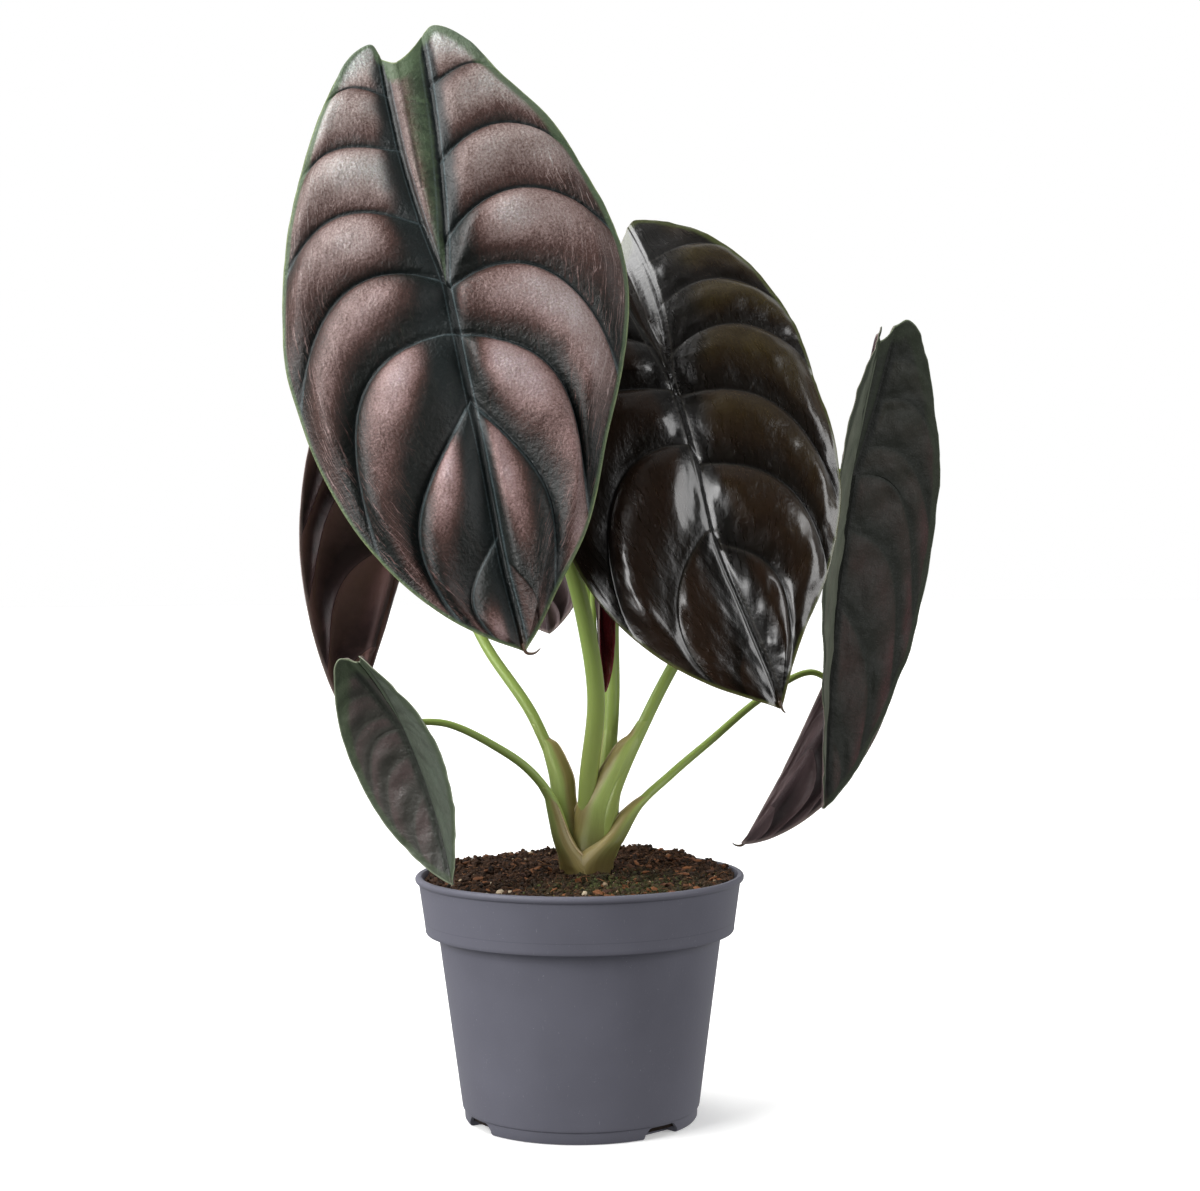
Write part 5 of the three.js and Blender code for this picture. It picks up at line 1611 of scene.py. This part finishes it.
@dataclass
class Pot:
    """Round nursery pot: tapering body, deep band under a rolled bead, and drain slots round the foot."""

    foot_radius: float = 42.9
    foot_height: float = 4.6
    body_top_radius: float = 51.8
    body_top: float = 65.2
    band_bottom_radius: float = 57.0
    band_bottom: float = 70.6
    band_top_radius: float = 59.4
    band_top: float = 87.4
    bead_radius: float = 60.7
    bead_size: float = 1.15
    height: float = 90.2
    wall: float = 1.4
    floor: float = 1.8
    segments: int = 180
    slot_angles: tuple[float, ...] = (-59, 43, 132, 212)
    slot_width: float = 14.5
    slot_depth: float = 6.0

    def profile(self) -> list[tuple[float, float]]:
        """Outline of the wall, from the middle of the base round to the inside floor.

        Returns:
            Radius and height of each corner.
        """
        foot, step, wall = self.foot_radius, self.foot_height, self.wall
        body, neck = self.body_top_radius, self.body_top
        low, high, hem, band = self.band_bottom_radius, self.band_top_radius, self.band_bottom, self.band_top
        bead, centre = self.bead_radius - self.bead_size, band + 1.45
        turns = [math.radians(-60 + 180 * i / 8) for i in range(9)]
        return [
            (0, 0), (foot - 1.4, 0), (foot - 0.5, 0.25), (foot, 1.0), (foot + 0.2, step - 0.3),
            (foot + 0.45, step), (foot + 0.8, step + 0.25), (foot + 0.95, step + 0.8),
            *((foot + 1 + (body - foot - 1) * i / 8, step + 1.2 + (neck - step - 1.2) * i / 8) for i in range(9)),
            (body + 0.15, neck + 1.3), (body + 0.8, neck + 2.3), (low - 1.3, neck + 3.6), (low - 0.3, neck + 3.95),
            (low, neck + 4.5), (low + 0.04, hem),
            *((low + (high - low) * i / 5, hem + (band - hem) * i / 5) for i in range(1, 5)),
            (high, band), (high + 0.5, band + 0.15),
            *((bead + self.bead_size * math.cos(turn), centre + 1.3 * math.sin(turn)) for turn in turns),
            (high - wall + 0.5, self.height - 0.3), (high - wall, band + 0.9), (low - wall, hem),
            (body - wall + 1, neck + 2), (body - wall, neck), (foot - wall, self.floor), (0, self.floor),
        ]

    def turned(self) -> MeshParts:
        """Turns the outline round the upright axis.

        Returns:
            The closed body.
        """
        parts = MeshParts()
        profile = np.array(self.profile())
        turn = np.linspace(0, 2 * math.pi, self.segments, endpoint=False)
        middle = profile[1:-1]
        points = np.stack([
            middle[:, :1] * np.cos(turn), middle[:, :1] * np.sin(turn),
            np.broadcast_to(middle[:, 1:], (len(middle), len(turn)))], -1)
        grid = parts.add_points(points * MM)
        parts.add_grid(grid, closed=True)
        for ring, z, flip in ((grid[0], profile[0, 1], True), (grid[-1], profile[-1, 1], False)):
            centre = parts.add_points(np.array([[0, 0, z * MM]]))[0]
            pairs = zip(ring, np.roll(ring, -1))
            parts.add_faces([(centre, b, a) if flip else (centre, a, b) for a, b in pairs])
        return parts

    def slot_cutter(self, angle: float) -> Piece:
        """Makes the body that cuts one drain slot, with slanting ends.

        Args:
            angle: Compass angle of the slot, from -Y towards +X.

        Returns:
            The cutter.
        """
        half, depth, top = self.slot_width / 2, self.slot_depth, self.foot_height - 0.5
        outline = [(-half - 1.2, -1), (half + 1.2, -1), (half + 0.6, top * 0.45), (half - 1.2, top * 0.92),
                   (half - 2.2, top), (-half + 2.2, top), (-half + 1.2, top * 0.92), (-half - 0.6, top * 0.45)]
        near = [(x, -self.foot_radius - 3, z) for x, z in outline]
        far = [(x, -self.foot_radius + depth, z) for x, z in outline]
        parts = MeshParts()
        grid = parts.add_points(np.array([near, far]) * MM)
        parts.add_grid(grid[::-1], closed=True)
        parts.add_faces([tuple(grid[0]), tuple(grid[1, ::-1])])
        cutter = parts.build("slot_cutter", ())
        cutter.data.transform(Matrix.Rotation(math.radians(angle), 4, "Z"))
        return cutter

    def build(self) -> Piece:
        """Makes the pot and cuts its drain slots.

        Returns:
            The pot.
        """
        pot = self.turned().build("nursery_pot", (MouldedPolypropylene(),))
        for angle in self.slot_angles:
            cutter = self.slot_cutter(angle)
            cut = pot.modifiers.new("slot", "BOOLEAN")
            cut.operation, cut.solver, cut.object = "DIFFERENCE", "EXACT", cutter
            cut_pot = pot.evaluated_get(bpy.context.evaluated_depsgraph_get())
            mesh = bpy.data.meshes.new_from_object(cut_pot)
            pot.modifiers.clear()
            pot.data = mesh
            bpy.data.objects.remove(cutter)
        pot.data.name = "nursery_pot"
        pot.data.polygons.foreach_set("use_smooth", [True] * len(pot.data.polygons))
        pot.data.set_sharp_from_angle(angle=math.radians(35))
        return pot


@dataclass
class Soil:
    """Potting soil: a heaped bed of peat with crumbs, bark, grit, fibres and a little moss lying on it.

    Heap sizes are heights in millimetres, directions are degrees from +X towards +Y, and sides are the radius and
    height of the bed's corners inside the pot.
    """

    crown: tuple[float, float] = (3.0, 0.0)
    crown_radius: float = 9.4
    radius: float = 57.1
    level: float = 86.6
    crown_heap: float = 4.6
    heap_reach: float = 24.0
    rear_heap: float = 4.2
    heap_direction: float = 115.0
    side_heap: float = 3.4
    side_direction: float = 32.0
    rim: float = 59.4
    sides: tuple[tuple[float, float], ...] = ((55.3, 70.6), (50.1, 65.2), (41.2, 2.2))
    rings: int = 120
    sectors: int = 300
    seed: int = 11

    def height(self, x: Array, y: Array) -> Array:
        """Height of the bed, with crumbs.

        Args:
            x: Places to the right of the pot's axis.
            y: Places behind it.

        Returns:
            Heights in millimetres.
        """
        heap = self.crown_heap * bell(np.hypot(x - self.crown[0], y - self.crown[1]), self.heap_reach)
        for size, degrees, start in ((self.rear_heap, self.heap_direction, -0.1),
                                     (self.side_heap, self.side_direction, 0.1)):
            way = math.radians(degrees)
            heap = heap + size * smooth((x * math.cos(way) + y * math.sin(way)) / self.rim, start, 0.95)
        places = np.stack([x, y], -1)
        crumbs = 0.8 * waves(places, 14, 3) + 0.55 * waves(places, 5, 4) + 0.4 * waves(places, 2.2, 5, 12)
        return self.level + heap + crumbs - 0.6 * smooth(np.hypot(x, y), self.radius - 4, self.radius)

    def greenness(self, x: Array, y: Array) -> Array:
        """How much algae and moss grows: most in front of the crown and to its right."""
        return bell(np.hypot((x - 14) / 1.7, y + 26), 14) + 0.35 * bell(np.hypot(x - 30, y + 6), 14)

    def bed(self) -> Piece:
        """Makes the bed of peat, with its sides inside the pot.

        Returns:
            The bed.
        """
        parts = MeshParts()
        turn = np.linspace(0, 2 * math.pi, self.sectors, endpoint=False)
        r = self.radius * np.linspace(0.004, 1, self.rings)[:, None]
        x, y = r * np.cos(turn), r * np.sin(turn)
        z = self.height(x, y)
        rng = np.random.default_rng(self.seed)
        top = parts.add_points(np.stack([x, y, z], -1) * MM, tone=0.35 + 0.3 * rng.random(x.shape),
                               green=self.greenness(x, y))
        low = [parts.add_points(np.stack([k * np.cos(turn), k * np.sin(turn), np.full(turn.shape, h)], -1) * MM,
                                tone=0.3, green=0.0)
               for k, h in self.sides]
        grid = np.vstack([top, *[ring[None] for ring in low]])
        parts.add_grid(grid, closed=True)
        parts.add_faces([tuple(grid[0, ::-1]), tuple(grid[-1])])
        return parts.build("soil_bed", (DampPeat(),))

    def bark_share(self, x: Array, y: Array) -> Array:
        """How likely bark lies at a place: most on the right."""
        return 0.35 + 0.65 * smooth(x, 0, 45)

    def spots(self, rng: np.random.Generator, count: int, weight: Likelihood | None = None,
              ) -> tuple[Array, Array]:
        """Draws places on the bed, clear of the crown.

        Args:
            rng: Source of the draws.
            count: How many.
            weight: Likelihood by place, from 0 to 1, or None for evenly.

        Returns:
            Their x and y.
        """
        xs, ys = np.empty(0), np.empty(0)
        while len(xs) < count:
            r = (self.radius - 1.2) * np.sqrt(rng.random(4 * count))
            a = 2 * math.pi * rng.random(4 * count)
            x, y = r * np.cos(a), r * np.sin(a)
            keep = np.hypot(x - self.crown[0], y - self.crown[1]) > self.crown_radius - 0.5
            if weight is not None:
                keep &= rng.random(4 * count) < weight(x, y)
            xs, ys = np.concatenate([xs, x[keep]]), np.concatenate([ys, y[keep]])
        return xs[:count], ys[:count]

    def lumps(self, name: str, finish: Finish, count: int, sizes: tuple[float, float],
              squash: tuple[float, float, float], jag: float, sink: float,
              weight: Likelihood | None = None, finer: bool = False,
              places: Sequence[tuple[float, float, float]] = ()) -> Piece:
        """Makes many small lumps that lie on the bed, as one mesh.

        Args:
            name: Name of the piece.
            finish: Its material.
            count: Number of lumps.
            sizes: Smallest and largest radius in millimetres.
            squash: Shares of the radius along the lump's own axes.
            jag: How uneven its surface is.
            sink: Share of its size that lies in the soil.
            weight: Likelihood by place, or None for evenly.
            finer: Whether each lump has 42 points in place of 12.
            places: Further lumps by x, y and radius.

        Returns:
            The lumps.
        """
        rng = np.random.default_rng(self.seed + len(name) * 7 + count)
        ball, faces = ico_ball(finer)
        x, y = self.spots(rng, count, weight)
        size = sizes[0] + (sizes[1] - sizes[0]) * rng.random(count) ** 2.2
        if places:
            extra = np.array(places)
            x, y, size = (np.concatenate([a, extra[:, i]]) for i, a in enumerate((x, y, size)))
        total = len(x)
        shape = ball[None] * (1 + jag * rng.uniform(-1, 1, (total, len(ball), 1)))
        shape = shape * (np.array(squash) * rng.uniform(0.75, 1.3, (total, 3)))[:, None] * size[:, None, None]
        turns = zip(rng.uniform(0, 6.28, total), rng.normal(0, 0.45, total), rng.normal(0, 0.45, total))
        tilt = np.stack([Matrix.Rotation(a, 3, "Z") @ Matrix.Rotation(b, 3, "X") @ Matrix.Rotation(c, 3, "Y")
                         for a, b, c in turns])
        shape = np.einsum("nij,nkj->nki", tilt, shape)
        z = self.height(x, y) + size * np.mean(squash) * (1 - 2 * sink)
        points = shape + np.stack([x, y, z], -1)[:, None]
        parts = MeshParts()
        grid = parts.add_points(points * MM, tone=rng.random(total)[:, None], green=self.greenness(x, y)[:, None])
        parts.add_faces((grid[:, None, None, 0] + faces[None]).reshape(-1, 3))
        piece = parts.build(name, (finish,))
        if not finer:
            piece.data.polygons.foreach_set("use_smooth", [False] * len(piece.data.polygons))
        return piece

    def fibres(self) -> Piece:
        """Makes thin bent fibres and rootlets that lie across the bed, as one mesh.

        Returns:
            The fibres.
        """
        rng = np.random.default_rng(self.seed + 1)
        parts = MeshParts()
        x, y = self.spots(rng, 420)
        for px, py in zip(x, y):
            way, length, bend = rng.uniform(0, 6.28), rng.uniform(2.5, 8), rng.uniform(-0.9, 0.9)
            turn = way + bend * np.linspace(-1, 1, 5)[1:]
            xs, ys = (start + np.append(0, np.cumsum(steps * length / 4))
                      for start, steps in ((px, np.cos(turn)), (py, np.sin(turn))))
            inside = np.minimum(1, (self.radius - 1) / np.maximum(np.hypot(xs, ys), 1))
            xs, ys = xs * inside, ys * inside
            if np.hypot(xs - self.crown[0], ys - self.crown[1]).min() < self.crown_radius + 0.5:
                continue
            zs = self.height(xs, ys) + rng.uniform(0.15, 0.9, 5)
            thin = rng.uniform(0.09, 0.2)
            add_sweep(parts, SmoothCurve(np.stack([xs, ys, zs], -1), per_span=3),
                      lambda u, thin=thin: thin * (1 - 0.5 * np.abs(2 * u - 1)), 4, 8,
                      values={"tone": rng.random(), "along": 0.0})
        return parts.build("soil_fibres", (LooseBits("coir_fibre", "#2c1a10", "#8a5f3c", 0.8, 0.3),))

    def build(self) -> list[Piece]:
        """Makes the bed and all that lies on it.

        Returns:
            The bed first, then the loose pieces.
        """
        bark = LooseBits("bark_bits", "#2f1a0f", "#7d4e2c", 0.75, 0.5)
        grit = LooseBits("pale_grit", "#7d6347", "#c3b59d", 0.75, 0.7)
        moss = LooseBits("moss_tufts", "#20270f", "#565e2a", 0.8, 0.5)
        stones = ((-28, -31, 1.6), (-32.5, -34, 1.2), (-24, -36, 0.9), (9.3, -22, 1.4), (17.2, -26, 1.0),
                  (2.3, -41, 1.2), (-49.5, -5, 1.4), (-46, -16, 1.0), (31, -34, 0.9), (41, -24, 0.8))
        return [
            self.bed(),
            self.lumps("peat_crumbs", DampPeat(), 9000, (0.28, 1.3), (1, 0.9, 0.7), 0.38, 0.3),
            self.lumps("bark_bits", bark, 420, (0.4, 1.8), (1.3, 0.8, 0.35), 0.3, 0.15, self.bark_share),
            self.lumps("pale_grit", grit, 120, (0.3, 0.9), (1, 0.85, 0.7), 0.2, 0.25, None, True, stones),
            self.lumps("moss_tufts", moss, 1100, (0.2, 0.6), (1, 1, 0.9), 0.5, 0.2, self.greenness),
            self.fibres(),
        ]


def ico_ball(finer: bool) -> tuple[Array, Array]:
    """A round ball of triangles.

    Args:
        finer: Whether to split each face of the icosahedron into four.

    Returns:
        Its points on the unit sphere and its faces.
    """
    g = (1 + math.sqrt(5)) / 2
    points = [(-1, g, 0), (1, g, 0), (-1, -g, 0), (1, -g, 0), (0, -1, g), (0, 1, g), (0, -1, -g), (0, 1, -g),
              (g, 0, -1), (g, 0, 1), (-g, 0, -1), (-g, 0, 1)]
    faces = [(0, 11, 5), (0, 5, 1), (0, 1, 7), (0, 7, 10), (0, 10, 11), (1, 5, 9), (5, 11, 4), (11, 10, 2),
             (10, 7, 6), (7, 1, 8), (3, 9, 4), (3, 4, 2), (3, 2, 6), (3, 6, 8), (3, 8, 9), (4, 9, 5), (2, 4, 11),
             (6, 2, 10), (8, 6, 7), (9, 8, 1)]
    ball = np.array(points, float)
    if finer:
        halves: dict[tuple[int, ...], int] = {}
        split = []
        for a, b, c in faces:
            ab, bc, ca = (halves.setdefault(tuple(sorted(edge)), len(ball) + len(halves))
                          for edge in ((a, b), (b, c), (c, a)))
            split += [(a, ab, ca), (b, bc, ab), (c, ca, bc), (ab, bc, ca)]
        ball, faces = np.vstack([ball, [(ball[a] + ball[b]) / 2 for a, b in halves]]), split
    return ball / np.linalg.norm(ball, axis=1, keepdims=True), np.array(faces)


@dataclass(frozen=True)
class Window:
    """A bright patch of the studio that only glossy surfaces show.

    way is the direction towards its middle. It is dark at a cosine of edge from there and full at a cosine of core.
    """

    way: tuple[float, float, float]
    edge: float
    core: float
    strength: float


@dataclass
class Studio:
    """Pale floor, soft lights and the photograph's camera.

    backdrop is what the camera sees, fill what lights matt surfaces from the front and from behind, bounce what
    comes up from the table, gloss what glossy leaves show, sky the broad light from above, and boxes the soft boxes
    by name, place, width and height in metres and power in watts.
    """

    floor_radius: float = 12.0
    backdrop: float = 1.0
    fill_front: float = 0.22
    fill_behind: float = 0.5
    gloss_front: float = 0.012
    gloss_behind: float = 0.5
    gloss_above: float = 0.25
    windows: tuple[Window, ...] = (
        Window((-0.64, -0.15, 0.75), 0.9, 0.95, 9.0), Window((-0.41, -0.885, 0.22), 0.975, 0.992, 11.0))
    boxes: tuple[tuple, ...] = (("left_box", (-1.0, -0.72, 0.6), 0.8, 1.0, 20),
                                ("right_box", (1.22, -0.46, 0.5), 0.6, 0.9, 9))
    bounce: float = 0.15
    sky_power: float = 3.0
    sky_angle: float = 50.0

    def floor(self) -> None:
        """Lays the pale floor."""
        parts = MeshParts()
        turn = np.linspace(0, 2 * math.pi, 96, endpoint=False)
        ring = np.stack([self.floor_radius * np.cos(turn), self.floor_radius * np.sin(turn), np.zeros(96)], -1)
        parts.add_faces([tuple(parts.add_points(ring))])
        floor = parts.build("studio_floor", (StudioPaper(),))
        floor.visible_glossy = floor.visible_diffuse = False

    def hang(self, name: str, kind: str, place: Sequence[float], aim: Sequence[float], **settings: object) -> Piece:
        """Hangs a lamp.

        Args:
            name: Its name.
            kind: Blender's type of light.
            place: Where it hangs, in metres.
            aim: What it points at.
            **settings: The light's own properties.

        Returns:
            The lamp.
        """
        data = bpy.data.lights.new(name, kind)
        for key, value in settings.items():
            setattr(data, key, value)
        lamp = bpy.data.objects.new(name, data)
        lamp.location = place
        lamp.rotation_euler = (Vector(aim) - Vector(place)).to_track_quat("-Z", "Y").to_euler()
        bpy.context.scene.collection.objects.link(lamp)
        return lamp

    def surroundings(self) -> None:
        """Sets a white surround that the camera sees bright and glossy leaves see dark, as in a tented studio."""
        world = bpy.data.worlds.new("studio")
        bpy.context.scene.world = world
        world.use_nodes = True
        world.node_tree.nodes.clear()
        add = partial(add_node, world.node_tree)
        path = add("LightPath")
        toward = (add("TexCoord"), "Generated")
        way = add("SeparateXYZ", [toward])
        gloss = add("MapRange", [(way, "Y"), -0.2, 0.8, self.gloss_front, self.gloss_behind], **EASED)
        bright = [add("MapRange", [(way, "Z"), 0.6, 1, 0, self.gloss_above], **EASED)]
        for window in self.windows:
            near = (add("VectorMath", [toward, window.way], operation="DOT_PRODUCT"), "Value")
            bright.append(add("MapRange", [near, window.edge, window.core, 0, window.strength], **EASED))
        for patch in bright:
            gloss = add("Math", [gloss, patch], operation="MAXIMUM")
        fill = add("MapRange", [(way, "Y"), -0.6, 0.6, self.fill_front, self.fill_behind])
        below = add("MapRange", [(way, "Z"), -0.9, 0, self.bounce, 0])
        fill = add("Math", [fill, below], operation="ADD")
        indoor = add("MapRange", [(path, "Is Glossy Ray"), 0, 1, fill, gloss])
        strength = add("MapRange", [(path, "Is Camera Ray"), 0, 1, indoor, self.backdrop])
        back = add("Background", {"Color": (1, 1, 1, 1), "Strength": strength})
        add("OutputWorld", {"Surface": back})

    def camera(self) -> None:
        """Places the photograph's camera."""
        data = bpy.data.cameras.new("camera")
        data.sensor_width = SENSOR
        data.lens = CAMERA_FOCAL / PICTURE_WIDTH * SENSOR
        camera = bpy.data.objects.new("camera", data)
        tilt = Matrix.Rotation(math.radians(90 - CAMERA_PITCH), 4, "X")
        roll = Matrix.Rotation(math.radians(CAMERA_ROLL), 4, "Z")
        camera.matrix_world = Matrix.Translation(Vector(CAMERA_PLACE) * MM) @ tilt @ roll
        bpy.context.scene.collection.objects.link(camera)
        bpy.context.scene.camera = camera

    def build(self) -> None:
        """Sets up the whole studio."""
        bpy.context.scene.view_settings.view_transform = "Standard"
        self.floor()
        self.surroundings()
        sky = self.hang("ceiling", "SUN", (-0.25, 0.05, 1.0), (0, 0, 0), energy=self.sky_power,
                        angle=math.radians(self.sky_angle))
        sky.visible_glossy = False
        for name, place, width, height, power in self.boxes:
            self.hang(name, "AREA", place, (0, 0, 0.2), shape="RECTANGLE", size=width, size_y=height, energy=power)
        self.camera()


def main() -> None:
    """Builds the plant, its pot and the studio."""
    logging.basicConfig(level=logging.INFO, format="%(name)s: %(message)s")
    Studio().build()
    settle(Pot().build(), "pot", "pot")
    bed, *loose = Soil().build()
    settle(bed, "soil", "soil")
    for piece in loose:
        settle(piece, "soil")
    settle(Crown().build(), "crown", "crown")
    for leaf in LEAVES:
        settle(Stalk(leaf).build(), "stalks", f"stalk_{leaf.name}")
        settle(Blade(leaf).build(), "blades", f"blade_{leaf.name}")


if __name__ == "__main__":
    main()
